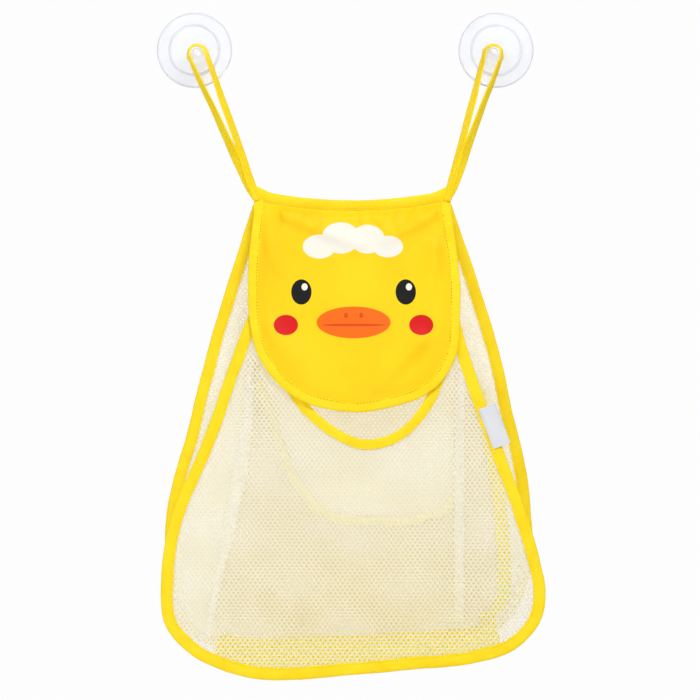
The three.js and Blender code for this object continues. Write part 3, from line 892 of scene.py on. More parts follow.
@dataclass(frozen=True)
class Seam:
    """A row of short stitches.

    Args:
        pitch: The distance from one stitch to the next.
        length: How long a stitch shows.
        thick: The thread's thickness.
    """

    pitch: float = 0.0027
    length: float = 0.0020
    thick: float = 0.00042

    def stitches(self, line: Array, out: Array) -> tuple[Array, Array]:
        """Make the stitches along a line.

        Args:
            line: The seam's line, on the surface.
            out: The direction out of the surface at each of its points.

        Returns:
            The stitches' vertices and faces.
        """
        run = run_lengths(line)
        count = max(1, int(run[-1] / self.pitch))
        at = (np.arange(count) + 0.5) * run[-1] / count
        middle, along = sampled(run, line, at), sampled(run, tangents(line), at)
        up = unit(sampled(run, out, at))
        side = unit(np.cross(along, up))
        half, round_ = self.length / 2, self.thick / 2
        corners = [(-half, 0, 0), (half, 0, 0), (0, round_, 0), (0, 0, round_),
                   (0, -round_, 0), (0, 0, -round_)]
        places = [middle + along * a + side * s + up * u for a, s, u in corners]
        faces = [(0, 2, 3), (0, 3, 4), (0, 4, 5), (0, 5, 2),
                 (1, 3, 2), (1, 4, 3), (1, 5, 4), (1, 2, 5)]
        base = np.arange(count)[:, None, None] * len(corners)
        return np.stack(places, axis=1).reshape(-1, 3), (base + np.array(faces)).reshape(-1, 3)

    def piece(self, name: str, sides: list[tuple[Array, Array]],
              thread: Finish) -> bpy.types.Object:
        """Make the stitches on both faces of a tape as one piece.

        Args:
            name: The tape's name.
            sides: The seam's line and the direction out of the tape, for each face.
            thread: The stitches' finish.

        Returns:
            The stitches.
        """
        (near, near_faces), (far, far_faces) = (self.stitches(*side) for side in sides)
        faces = np.vstack([near_faces, far_faces + len(near)])
        return mesh_object(name + "_stitches", np.vstack([near, far]), faces, thread)


@dataclass(frozen=True)
class FoldedTape:
    """Tape folded over a cloth's edge and sewn through near its inner edges.

    Args:
        width: How far the tape reaches in from the fold.
        half: Half the thickness of the tape and what it holds.
        crown: How much further each face swells out in the middle.
        hold: Half the gap between the two leaves.
        margin: The seam's distance from the tape's inner edge.
        ripple: How far the tape wanders from its line.
        seam: Its stitches.
        stretch: How much its width varies.
        swells: The lengths over which its width, its line and its height vary.
        pucker: How much the stitches draw it together.
        pucker_pitch: The distance between puckers.
        seam_lift: The seam's height, as a share of the tape's half thickness.
    """

    width: float = TAPE_WIDTH
    half: float = 0.00115
    crown: float = 0.00025
    hold: float = 0.0005
    margin: float = 0.0014
    ripple: float = 0.00022
    seam: Seam = Seam()
    stretch: float = 0.035
    swells: tuple[float, float, float] = (0.061, 0.047, 0.035)
    pucker: float = 0.10
    pucker_pitch: float = 0.0055
    seam_lift: float = 0.88

    def section(self) -> Array:
        """Return the section's inward and forward distances, the front leaf first."""
        w, h, m = self.width, self.half, self.margin
        leaf = [
            (w, self.hold), (w, h * 0.86), (w - m * 0.45, h), (w - m, h * 0.82),
            (w - m * 1.6, h * 1.02), (w * 0.55, h + self.crown), (w * 0.28, h + self.crown * 0.7),
            (w * 0.1, h * 0.92), (w * 0.02, h * 0.55),
        ]
        outer = leaf + [(0, 0)] + [(along, -out) for along, out in reversed(leaf)]
        inner = [(w * 0.12, -self.hold), (w * 0.12, self.hold)]
        return np.array(outer + inner)

    def rings(self, line: Array, facing: Array, phase: float) -> Array:
        """Lay the section along a line.

        Args:
            line: The outside of the fold.
            facing: The direction out of the cloth at each point.
            phase: What tells this tape's wander from another's.

        Returns:
            One ring of points for each point of the line.
        """
        inward = sideways(line, facing)
        run = run_lengths(line)
        section = self.section()[None]
        wide, across, high = (
            wander(run, scale, phase + 2 * number)[:, None]
            for number, scale in enumerate(self.swells)
        )
        along = section[..., 0] * (1 + self.stretch * wide) + self.ripple * across
        draw = np.sin(2 * math.pi * run / self.pucker_pitch + phase)[:, None]
        out = section[..., 1] * (1 + self.pucker * draw) + self.ripple * high
        return line[:, None] + inward[:, None] * along[..., None] + facing[:, None] * out[..., None]

    def stitched(self, name: str, line: Array, facing: Array, thread: Finish) -> bpy.types.Object:
        """Make the stitches of both leaves as one piece.

        Args:
            name: The tape's name.
            line: The outside of the fold.
            facing: The direction out of the cloth at each point.
            thread: The stitches' finish.

        Returns:
            The stitches.
        """
        middle = line + sideways(line, facing) * (self.width - self.margin)
        leaves = [(middle + facing * side * self.half * self.seam_lift, facing * side)
                  for side in (1, -1)]
        return self.seam.piece(name, leaves, thread)

    def sew(self, name: str, line: Array, facing: Array, phase: float, finish: Finish,
            thread: Finish) -> tuple[bpy.types.Object, bpy.types.Object]:
        """Make the tape and its stitches.

        Args:
            name: The tape's name.
            line: The outside of the fold.
            facing: The direction out of the cloth at each point.
            phase: What tells this tape's wander from another's.
            finish: The tape's finish.
            thread: The stitches' finish.

        Returns:
            The tape and the stitches.
        """
        tape = mesh_object(name, *swept(self.rings(line, facing, phase)), finish)
        return tape, self.stitched(name, line, facing, thread)


@dataclass(frozen=True)
class Net:
    """Knitted net: thread ridges round staggered six sided holes.

    Args:
        pitch: The distance between holes along a row.
        row: The distance between rows.
        hole: The share of a cell that its hole takes, each way.
        ridge: How far the threads' middles stand out.
        uneven: How far a knot strays from its place.
    """

    pitch: float = 0.0037
    row: float = 0.0025
    hole: float = 0.66
    ridge: float = 0.0003
    uneven: float = 0.00010

    def corners(self) -> Array:
        """Return a cell's six corners, from its middle."""
        half = self.pitch / 2
        slant = half * half / (2 * self.row)
        tip, side = self.row / 2 + slant, self.row / 2 - slant
        return np.array([(0, tip), (half, side), (half, -side), (0, -tip), (-half, -side),
                         (-half, side)])

    def lattice(self, polygon: Array) -> tuple[Array, Array, Array]:
        """Fill a polygon with cells.

        Args:
            polygon: The cloth's outline in its flat plane.

        Returns:
            The flat places, the height share of each and the faces.
        """
        low, high = polygon.min(axis=0), polygon.max(axis=0)
        columns = np.arange(math.floor(low[0] / self.pitch), math.ceil(high[0] / self.pitch) + 1)
        rows = np.arange(math.floor(low[1] / self.row), math.ceil(high[1] / self.row) + 1)
        column, row = np.meshgrid(columns, rows)
        shift = (row % 2) / 2
        middle = np.stack([(column + shift) * self.pitch, row * self.row], axis=-1).reshape(-1, 2)
        middle = middle[inside(polygon, middle)]
        knots = (middle[:, None] + self.corners()[None]).reshape(-1, 2)
        _, first, index = np.unique(np.round(knots, 6), axis=0, return_index=True,
                                    return_inverse=True)
        outer = knots[first]
        index = index.reshape(-1, 6)
        outer = outer + np.random.default_rng(SEED).normal(0, self.uneven, outer.shape)
        inner = middle[:, None] + (outer[index] - middle[:, None]) * self.hole
        inner_index = len(outer) + np.arange(len(middle) * 6).reshape(-1, 6)
        faces = np.stack([index, np.roll(index, -1, axis=1), np.roll(inner_index, -1, axis=1),
                          inner_index], axis=-1).reshape(-1, 4)
        places = np.vstack([outer, inner.reshape(-1, 2)])
        heights = np.concatenate([np.ones(len(outer)), np.zeros(len(middle) * 6)])
        return places, heights, faces


def hang_net(made: bpy.types.Object, ride: Body | Bend, node: str,
             axes: tuple[int, int] = FRONT_AXES) -> None:
    """Args:
        made: The net.
        ride: The body that it rides on, or the bend between two bodies.
        node: The node that it stands for.
        axes: The axes of its flat map.
    """
    planar_map(made, axes, FLAT_LOW, FLAT_SPAN)
    dress(made, ride, (node,))


OPEN_NET = Net(hole=0.62)
SIDE_WALL_NET = Net(hole=0.68)
DENSE_NET = Net(hole=0.32, ridge=0.0002)


@dataclass
class Pouch:
    """The bound net pouch: back and front nets, gussets, floor and their bindings.

    Args:
        tape: The tape round the back and the front.
        scoop_tape: The tape along the mouth's lower edge.
        hidden: How far inside its tape a net ends.
        seam: The distance between the gussets' edges and the middles of the nets beside them.
        steps: How many steps the long bindings have.
        belly: How far the front net sags outwards.
        gusset_sag: How far the side nets sink into the pouch.
        corners: The floor's ends, as shares of the pouch's half width.
        gusset_top: The height where the gussets start.
        back_swell: How far the back net's broad waves stand out.
        fade: The distance from a seam over which a net or the floor takes its form.
        front_fade: That distance for the front net.
        gusset_inset: How far inside the back's fold a gusset's edge is, in tape widths.
        side_steps: How many steps a side net's edges have.
        floor_steps: How many steps the floor has along its seams and across.
        floor_dip: How far the floor dips.
        floor_depth: The floor's flat width, from the front to the back. Not used.
        cloth: The floor's thickness.
    """

    tape: FoldedTape = FoldedTape()
    scoop_tape: FoldedTape = FoldedTape(SCOOP_TAPE_WIDTH)
    hidden: float = 0.0042
    seam: float = 0.0016
    steps: int = 420
    belly: float = 0.0035
    gusset_sag: float = 0.004
    corners: tuple[float, float] = (-0.724, 0.766)
    gusset_top: float = -0.132
    back_swell: float = 0.0012
    fade: float = 0.03
    front_fade: float = 0.05
    gusset_inset: float = 1.12
    side_steps: int = 200
    floor_steps: tuple[int, int] = (120, 24)
    floor_dip: float = 0.003
    floor_depth: float = 0.079
    cloth: float = 0.0008

    def __post_init__(self) -> None:
        """Draw the lines that the pouch's pieces share."""
        self.front = FRONT_FACE.laid(POUCH_AREA.line(FRONT_SHARES, self.steps))
        self.back = BACK_FACE.laid(POUCH_AREA.line(BACK_SHARES, self.steps))
        lower = FRONT_FACE.laid(POUCH_AREA.line(SCOOP_SHARES, self.steps // 2))
        self.scoop = FRONT_FACE.inset(lower, SCOOP_TAPE_WIDTH)

    def build(self) -> None:
        """Make and dress all pieces of the pouch."""
        self.bindings()
        self.back_net()
        self.front_net()
        self.side_nets()
        self.floor()

    def bind(self, name: str, line: Array, face: Face, tape: FoldedTape, phase: float) -> None:
        """Make one binding with its stitches.

        Args:
            name: The node's name.
            line: The outside of the fold.
            face: The cloth that it binds.
            tape: The tape.
            phase: What tells its wander from another's.
        """
        made, sewn = tape.sew(name + "_tape", line, face.facing(line), phase, TAPE, THREAD)
        dress(made, SWING, (name,))
        dress(sewn, SWING)

    def bindings(self) -> None:
        """Make the three yellow bindings."""
        self.bind("back_binding", self.back, BACK_FACE, self.tape, 0.4)
        self.bind("front_binding", self.front, FRONT_FACE, self.tape, 1.9)
        gap = nearest(self.front[:, FRONT_AXES], self.scoop[:, FRONT_AXES])
        line = self.scoop[gap > TAPE_WIDTH * 0.55][::-1]
        self.bind("scoop_binding", line, FRONT_FACE, self.scoop_tape, 3.1)

    def back_net(self) -> None:
        """Make the net of the back panel, which goes up into the top binding."""
        edge = BACK_FACE.inset(self.back, self.hidden)[:, FRONT_AXES]
        top_x = np.linspace(edge[-1, 0], edge[0, 0], 20)
        top = np.stack([top_x, header_edge(top_x) + HEADER_HEIGHT / 2], axis=1)
        places, heights, faces = DENSE_NET.lattice(np.vstack([edge, top]))
        x, z = places.T
        slack = ease(np.minimum(1, nearest(edge[::4], places) / self.fade))
        depth = BACK_FACE.depth(x, z) - DENSE_NET.ridge * heights
        depth = depth - self.back_swell * slack * (1 + wander(x, 0.11, 0.3))
        made = mesh_object("back_net", np.stack([x, depth, z], axis=1), faces, BACK_NET)
        hang_net(made, SWING, "back_panel")

    def front_net(self) -> None:
        """Make the front net below the scooped mouth, sagging a little between its tapes."""
        edge = FRONT_FACE.inset(self.front, self.hidden)[:, FRONT_AXES]
        rim = FRONT_FACE.inset(self.scoop, -self.hidden)[:, FRONT_AXES]
        low = edge[edge[:, 1] < max(rim[0, 1], rim[-1, 1])]
        outline = np.vstack([low, rim[::-1]])
        places, heights, faces = OPEN_NET.lattice(outline)
        x, z = places.T
        slack = ease(nearest(outline[::4], places) / self.front_fade)
        folds = 0.5 * wander(x + 0.25 * z, 0.13, 1.1) + 0.35 * wander(z, 0.17, 0.2)
        depth = FRONT_FACE.depth(x, z) - OPEN_NET.ridge * heights
        depth = depth - self.belly * slack * (1 + folds)
        made = mesh_object("front_net", np.stack([x, depth, z], axis=1), faces, FRONT_NET)
        hang_net(made, SWING, "front_panel")

    def rims(self) -> list[Array]:
        """Return the gussets' front and back edges, from the top left round to the top right."""
        edges = []
        for face, line, inset, away in ((FRONT_FACE, self.front, 0.5, -1),
                                        (BACK_FACE, self.back, self.gusset_inset, 1)):
            edge = face.inset(line, TAPE_WIDTH * inset)
            edge = edge + face.facing(edge) * self.seam * away
            edges.append(edge[edge[:, 2] < self.gusset_top])
        return edges

    def corner_steps(self, line: Array) -> list[int]:
        """Return the steps of a gusset edge at the floor's two ends."""
        lower = np.arange(len(line)) > 0.3 * len(line)
        ends = [POUCH_CENTRE_X + POUCH_HALF_WIDTH * share for share in self.corners]
        return [int(np.argmax(lower & (line[:, 0] > end))) for end in ends]

    def side_nets(self) -> None:
        """Make the net side walls between the front and the back."""
        rims = self.rims()
        ends = [self.corner_steps(rim) for rim in rims]
        left = [rim[:first + 1] for rim, (first, _) in zip(rims, ends)]
        right = [rim[last:][::-1] for rim, (_, last) in zip(rims, ends)]
        for side, edges in ((-1, left), (1, right)):
            self.side_net(side, *(even_steps(edge, self.side_steps) for edge in edges))

    def side_net(self, side: int, near: Array, far: Array) -> None:
        """Make one side wall's net in the ruled surface between its edges.

        Args:
            side: -1 on the left and 1 on the right.
            near: The edge at the front, from the top down.
            far: The edge at the back, with as many steps.
        """
        middle = (near + far) / 2
        run = run_lengths(middle)
        width = np.linalg.norm(far - near, axis=1)
        outline = np.vstack([
            np.stack([0 * run, run], axis=1), np.stack([width, run], axis=1)[::-1],
        ])
        net = SIDE_WALL_NET
        places, heights, faces = net.lattice(outline)
        down = np.clip(places[:, 1], 0, run[-1])
        wide = np.interp(down, run, width)
        share = np.clip(places[:, 0] / np.maximum(wide, net.pitch), -0.02, 1.02)
        start, end = sampled(run, near, down), sampled(run, far, down)
        out = unit(np.cross(sampled(run, tangents(middle), down), end - start)) * side
        sink = self.gusset_sag * 4 * share * (1 - share) * (1 + 0.4 * wander(down, 0.09, side))
        lift = net.ridge * heights - sink * np.minimum(1, wide / self.fade)
        solid = start + (end - start) * share[:, None] + out * lift[:, None]
        name = SIDE_NAMES[side]
        made = mesh_object(name + "_gusset_net", solid, faces, SIDE_NET)
        hang_net(made, SWING, "gusset_" + name, (1, 2))

    def floor(self) -> None:
        """Make the pouch's cloth floor, which dips between its seams."""
        along, across = self.floor_steps
        near, far = (even_steps(rim[first:last + 1], along)
                     for rim in self.rims() for first, last in [self.corner_steps(rim)])
        share = np.linspace(0, 1, across)[:, None, None]
        grid = near[None] * (1 - share) + far[None] * share
        run = run_lengths(near)
        slack = share[..., 0]
        hung = near[:, 2] + (far[:, 2] - near[:, 2]) * slack ** 3
        inner = ease(run / self.fade) * ease((run[-1] - run) / self.fade)
        grid[..., 2] += (hung - grid[..., 2]) * inner
        dip = self.floor_dip + self.floor_dip * wander(run, 0.08, 0.5)[None]
        grid[..., 2] -= slack * (1 - slack) * dip
        made = thick_sheet("base_cloth", grid, self.cloth, FLOOR_CLOTH, FLOOR_CLOTH)
        dress(made, Body.POUCH, ("base_gusset",))


@dataclass
class InnerPocket:
    """The net pocket inside the back, with its pale edging and hems and its yellow seam tape.

    Args:
        edging: The tape on the pocket's mouth.
        hem_stops: The shares of the left hem's length where its width is given.
        hem_widths: The left hem's widths there.
        right_hem: The right hem's width.
        seam_tape: The yellow tape's width.
        tape_run: The shares that the seam tape covers.
        proud: How far the hems lie in front of the net.
        fade: The distance from the pocket's seams over which its waves rise.
        waves: How far the waves stand out.
        crown: How far a hem swells out in its middle.
        cloth: A hem's thickness.
    """

    edging: FoldedTape = FoldedTape(0.0070, 0.0009, 0.0002, 0.0004, 0.0010, 0.0003)
    hem_stops: tuple[float, float, float] = (0.0, 0.45, 1.0)
    hem_widths: tuple[float, float, float] = (0.0050, 0.0105, 0.0036)
    right_hem: float = 0.0074
    seam_tape: float = 0.0105
    tape_run: tuple[float, float] = (0.66, 0.97)
    proud: float = 0.0021
    fade: float = 0.03
    waves: float = 0.0012
    crown: float = 0.0009
    cloth: float = 0.0005

    def build(self) -> None:
        """Make and dress all pieces of the pocket."""
        side = POUCH_AREA.line(POCKET_SHARES, 240)
        mouth = POUCH_AREA.line(MOUTH_SHARES, 240)
        self.net(side, mouth)
        line = POCKET_FACE.laid(mouth[::-1])
        made, sewn = self.edging.sew("pocket_edging_tape", line, POCKET_FACE.facing(line), 0.7,
                                     EDGING, PALE_THREAD)
        dress(made, Body.POUCH, ("pocket_edging",))
        dress(sewn, Body.POUCH)
        left = POCKET_FACE.laid(POUCH_AREA.line(LEFT_HEM_SHARES, 80))
        right = POCKET_FACE.laid(POUCH_AREA.line(RIGHT_HEM_SHARES, 60))
        tape = even_steps(POCKET_FACE.laid(side), 90, *self.tape_run)
        widths = np.interp(np.linspace(0, 1, len(left)), self.hem_stops, self.hem_widths)
        self.strip("pocket_hem_left", left, widths, 0.5, PALE_TAPE)
        wide = np.full(len(right), self.right_hem)
        self.strip("pocket_hem_right", right, wide, 0, PALE_TAPE)
        wide = np.full(len(tape), self.seam_tape)
        self.strip("seam_tape_right", tape, wide, 0.5, INNER_TAPE)

    def net(self, side: Array, mouth: Array) -> None:
        """Make the pocket's net between its side line and its mouth.

        Args:
            side: The outline's X and Z.
            mouth: The mouth's X and Z.
        """
        places, heights, faces = DENSE_NET.lattice(np.vstack([side, mouth[::-1]]))
        x, z = places.T
        slack = ease(nearest(side[::4], places) / self.fade)
        depth = POCKET_FACE.depth(x, z) - DENSE_NET.ridge * heights
        depth = depth - self.waves * slack * wander(x - 0.3 * z, 0.09, 2.2)
        made = mesh_object("pocket_net", np.stack([x, depth, z], axis=1), faces, BACK_NET)
        hang_net(made, Body.POUCH, "pocket_panel")

    def strip(self, name: str, line: Array, widths: Array, inside_share: float, finish: Finish) -> None:
        """Make a soft flat tape in front of the pocket's net.

        Args:
            name: The node that it stands for.
            line: The line that it follows.
            widths: Its width at each step.
            inside_share: How far its middle lies inside the line, in widths.
            finish: Its finish.
        """
        facing = POCKET_FACE.facing(line)
        across = np.linspace(-0.5, 0.5, 9)[:, None]
        run = run_lengths(line)
        offset = across * widths[None] * (1 + 0.08 * wander(run, 0.05, len(name)))
        offset = offset + (widths * inside_share)[None]
        crown = self.proud + self.crown * (1 - 4 * across ** 2)
        crown = crown + self.crown / 3 * wander(run, 0.03, len(name) + 1)[None]
        grid = line[None] + sideways(line, facing)[None] * offset[..., None]
        grid = grid + facing[None] * crown[..., None]
        made = thick_sheet(name + "_strip", grid, self.cloth, finish, finish)
        dress(made, Body.POUCH, (name,))


@dataclass
class SuctionCup:
    """A clear soft cup with a moulded ring, a neck and a button head.

    Args:
        side: -1 for the left cup and 1 for the right.
        spacing: The distance between the cups' middles.
        radius: The cup's radius.
        rim: The rim's thickness.
        hollow: The hollow's depth.
        dome: The dome's height.
        dome_radius: The dome's flat middle's radius.
        ring_radius: The moulded ring's radius.
        ring_height: The moulded ring's height.
        neck_radius: The neck's radius.
        neck_length: The neck's length.
        head_radius: The button head's radius.
        head_thickness: The button head's thickness.
        lean: How far the load pulls the head to the middle.
        drop: How far it pulls the head down.
        edge: How far the rim's edge is rounded.
        band: The width of the rim's outer band, which is greyer and hazier as painted shade for the
            dark edge of clear plastic.
        skirt: The radii where the skirt's profile has a point outside and inside the ring.
        curve: How steeply the skirt rises to the dome.
        waist: How much of the neck is bent by the load, as a share of its length.
        lip: The width of the lip that touches the wall.
        clear_from: How far above the dome the clearest plastic starts.
    """

    side: int
    spacing: float = 0.241
    radius: float = 0.030
    rim: float = 0.0015
    hollow: float = 0.0032
    dome: float = 0.0056
    dome_radius: float = 0.008
    ring_radius: float = 0.020
    ring_height: float = 0.0005
    neck_radius: float = 0.003
    neck_length: float = 0.008
    head_radius: float = 0.010
    head_thickness: float = 0.0036
    lean: float = 0.0022
    drop: float = 0.0024
    edge: float = 0.0004
    band: float = 0.0012
    skirt: tuple[float, float, float] = (0.027, 0.014, 0.010)
    curve: float = 1.6
    waist: float = 0.3
    lip: float = 0.0022
    clear_from: float = 0.001

    def outer(self) -> Array:
        """Return the smooth profile of the visible side, as radius and distance from the wall."""
        def dome_at(radius: float) -> float:
            """Return the dome's height at a radius."""
            share = (self.radius - radius) / (self.radius - self.dome_radius)
            return self.rim + (self.dome - self.rim) * share ** self.curve

        ring = self.ring_height
        outside, inside_ring, middle = self.skirt
        steps = [self.ring_radius + ring * step for step in (3, 1, -1, -3)]
        radii = [self.radius - self.band, outside, *steps, inside_ring, middle]
        lifts = [0, 0, 0, ring, ring, 0, 0, 0]
        skirt = [(r, dome_at(r) + lift) for r, lift in zip(radii, lifts)]
        end = self.dome + self.neck_length
        face = end + self.head_thickness
        neck = [(self.neck_radius * 1.7, self.dome), (self.neck_radius, self.dome + 0.0016),
                (self.neck_radius, end - 0.0012), (self.neck_radius * 1.6, end)]
        head = [(self.head_radius - 0.0016, end), (self.head_radius - 0.0003, end + 0.0007),
                (self.head_radius, end + self.head_thickness / 2),
                (self.head_radius - 0.0008, face - 0.0005), (self.head_radius * 0.62, face),
                (0.0001, face)]
        return smooth_line(np.array(skirt + neck + head), 110)

    def profile(self) -> Array:
        """Return the closed profile, from the middle of the hollow round to the head's middle."""
        share = np.linspace(0.004, 1, 14)
        foot = self.radius - self.lip
        hollow = np.stack([foot * share, self.hollow * (1 - share ** 2)], axis=1)
        inner, edge = self.radius - self.edge, self.edge
        side = np.array([(inner, 0.0), (self.radius, edge), (self.radius, self.rim - edge),
                         (inner, self.rim)])
        return np.vstack([hollow, side, self.outer()])

    def build(self) -> None:
        """Make and dress the cup."""
        profile = self.profile()
        turn = np.linspace(0, 2 * math.pi, 96, endpoint=False)
        out, forward = profile[:, :1], profile[:, 1:]
        rings = np.stack([out * np.cos(turn), -forward + 0 * turn, out * np.sin(turn)], axis=-1)
        pull = ease((profile[:, 1] - self.dome) / (self.neck_length * self.waist))[:, None]
        rings[..., 0] += self.side * (self.spacing / 2 - self.lean * pull)
        rings[..., 2] -= self.drop * pull
        label = SIDE_NAMES[self.side]
        made = mesh_object("clear_cup_" + label, *swept(rings), PLASTIC)
        for finish in (CLEAR, CUP_RIM_SHADE, CUP_RING_SHADE):
            made.data.materials.append(finish.material())
        middle = np.array([face.center for face in made.data.polygons])
        out = np.hypot(middle[:, 0] - self.side * self.spacing / 2, middle[:, 2])
        index = np.zeros(len(middle), int)
        index[-middle[:, 1] > self.dome + self.clear_from] = 1
        # The rim's outer band takes the greyer rim plastic, as painted shade.
        index[out > self.radius - self.band] = 2
        # The moulded ring's faces take the greyer ring plastic, as painted shade.
        on_ring = (np.abs(out - self.ring_radius) < 2 * self.ring_height) & (index == 0)
        index[on_ring & (-middle[:, 1] > self.rim)] = 3
        made.data.polygons.foreach_set("material_index", index)
        dress(made, Body.CUPS, ("suction_cup_" + label,))


@dataclass
class StrapLoop:
    """A loop of folded tape over a cup's neck. Both ends are sewn to the top binding's end.

    Args:
        side: -1 for the left loop and 1 for the right.
        eye_length: How far below the neck the two strands meet.
        width: The tape's width.
        thickness: The folded tape's thickness.
        arc: The radius of the turn over the neck, to the tape's middle.
        neck: The neck's middle in X, from the wall's middle line, and its height.
        foot: The sewn end's distance from the binding's middle, and its height.
        depths: The distance from the wall at the turn, in the front strand and in the rear one.
        tuck: How much nearer the wall than the front strand the foot is.
        turns: How far the tape is turned from facing the viewer at the arc, in the front strand
            and in the rear one, in degrees.
        seat: How far above the neck's middle the turn's middle line passes.
        flatness: The powers that square the tape's section, across and through it.
        ripple: How much the tape's width varies.
        seam_share: The seam's distance from the tape's middle, in widths.
    """

    side: int
    eye_length: float
    width: float = 0.0092
    thickness: float = 0.0015
    arc: float = 0.0066
    neck: tuple[float, float] = (0.1183, -0.0024)
    foot: tuple[float, float] = (0.0767, -0.1195)
    depths: tuple[float, float, float] = (0.0098, 0.0126, 0.0112)
    tuck: float = 0.0020
    turns: tuple[float, float, float] = (70, 60, 57)
    seat: float = 0.0053
    flatness: tuple[float, float] = (0.35, 0.8)
    ripple: float = 0.03
    seam_share: float = 0.33

    def path(self) -> tuple[Array, Array, Array]:
        """Draw the tape's middle line from the front strand's foot over the neck and back.

        Returns:
            The line as across and down from the turn's middle and depth, the turn of the tape
            in radians, and the tape's width at each step.
        """
        length = self.length()
        eye = self.eye_length
        front = [(0.0012, length), (-0.0003, length * 0.93), (-0.0009, length * 0.85),
                 (-0.0026, eye * 1.04), (-0.0037, eye * 0.76), (-0.0045, eye * 0.54),
                 (-0.0057, eye * 0.36), (-self.arc * 1.01, eye * 0.12), (-self.arc, 0)]
        rear = [(self.arc, 0), (self.arc * 0.98, eye * 0.12), (0.0056, eye * 0.36),
                (0.0048, eye * 0.54), (0.0043, eye * 0.76), (0.0034, eye * 1.04),
                (0.0016, length * 0.86), (0.0012, length)]
        angles = np.radians(np.linspace(180, 0, 9)[1:-1])
        over = [(self.arc * math.cos(a), -self.arc * math.sin(a)) for a in angles]
        flat = smooth_line(np.array(front + over + rear), 300)
        share = np.linspace(0, 1, len(flat))
        stops = [0, 0.05, 0.18, 0.30, 0.47, 0.53, 0.70, 0.82, 1]
        top, near, far = self.depths
        foot = near - self.tuck
        depth = np.interp(share, stops, [foot, foot, near, near, top, top, far, far, foot])
        high, left, right = (math.radians(turn) for turn in self.turns)
        turn = np.interp(share, stops, [0.1, 0.1, left * 0.8, left, high, high, right, right, 0.6])
        wide = np.interp(share, stops, [0.6, 0.9, 1, 1, 0.86, 0.86, 1, 1, 0.8]) * self.width
        soften = np.ones(13) / 13
        smoothed = [np.convolve(np.pad(v, 6, mode="edge"), soften, mode="valid")
                    for v in (depth, turn, wide)]
        return np.column_stack([flat, smoothed[0]]), smoothed[1], smoothed[2]

    def length(self) -> float:
        """Return the distance from the turn over the neck to the foot."""
        return math.hypot(self.neck[0] - self.foot[0] - HEADER_CENTRE_X * self.side,
                          self.neck[1] - self.foot[1])

    def build(self) -> None:
        """Make and dress the loop with its stitching."""
        path, turn, wide = self.path()
        start = np.array([self.side * self.neck[0], self.neck[1]])
        end = np.array([HEADER_CENTRE_X + self.side * self.foot[0], self.foot[1]])
        down = (end - start) / np.linalg.norm(end - start)
        across = np.array([-down[1], down[0]]) * -self.side
        shift = self.arc - self.seat
        middle = start + path[:, :1] * across + (path[:, 1:2] + shift) * down
        line = np.column_stack([middle[:, 0], -path[:, 2], middle[:, 1]])
        tangent = tangents(line)
        beside = unit(np.cross(tangent, AHEAD)) * -self.side
        cos, sin = np.cos(turn)[:, None], np.sin(turn)[:, None]
        broad = unit(beside * cos + AHEAD * sin)
        thin = unit(np.cross(tangent, broad))
        run = run_lengths(line)
        angles = np.linspace(0, 2 * math.pi, 20, endpoint=False)
        wave = 1 + self.ripple * wander(run, 0.05, self.side + 2)[:, None]
        along = signed_power(np.cos(angles), self.flatness[0])
        out = signed_power(np.sin(angles), self.flatness[1])
        rings = line[:, None] + broad[:, None] * (wave * wide[:, None] / 2 * along)[..., None]
        rings = rings + thin[:, None] * (self.thickness / 2 * out)[None, :, None]
        label = SIDE_NAMES[self.side]
        body = Body.STRAP_LEFT if self.side < 0 else Body.STRAP_RIGHT
        made = mesh_object("loop_" + label, *swept(rings), TAPE)
        dress(made, body, ("strap_loop_" + label,))
        edge = line + broad * (wide[:, None] * self.seam_share)
        faces = [(edge + thin * side * self.thickness / 2, thin * side) for side in (-1, 1)]
        dress(Seam().piece("loop_" + label, faces, THREAD), body)


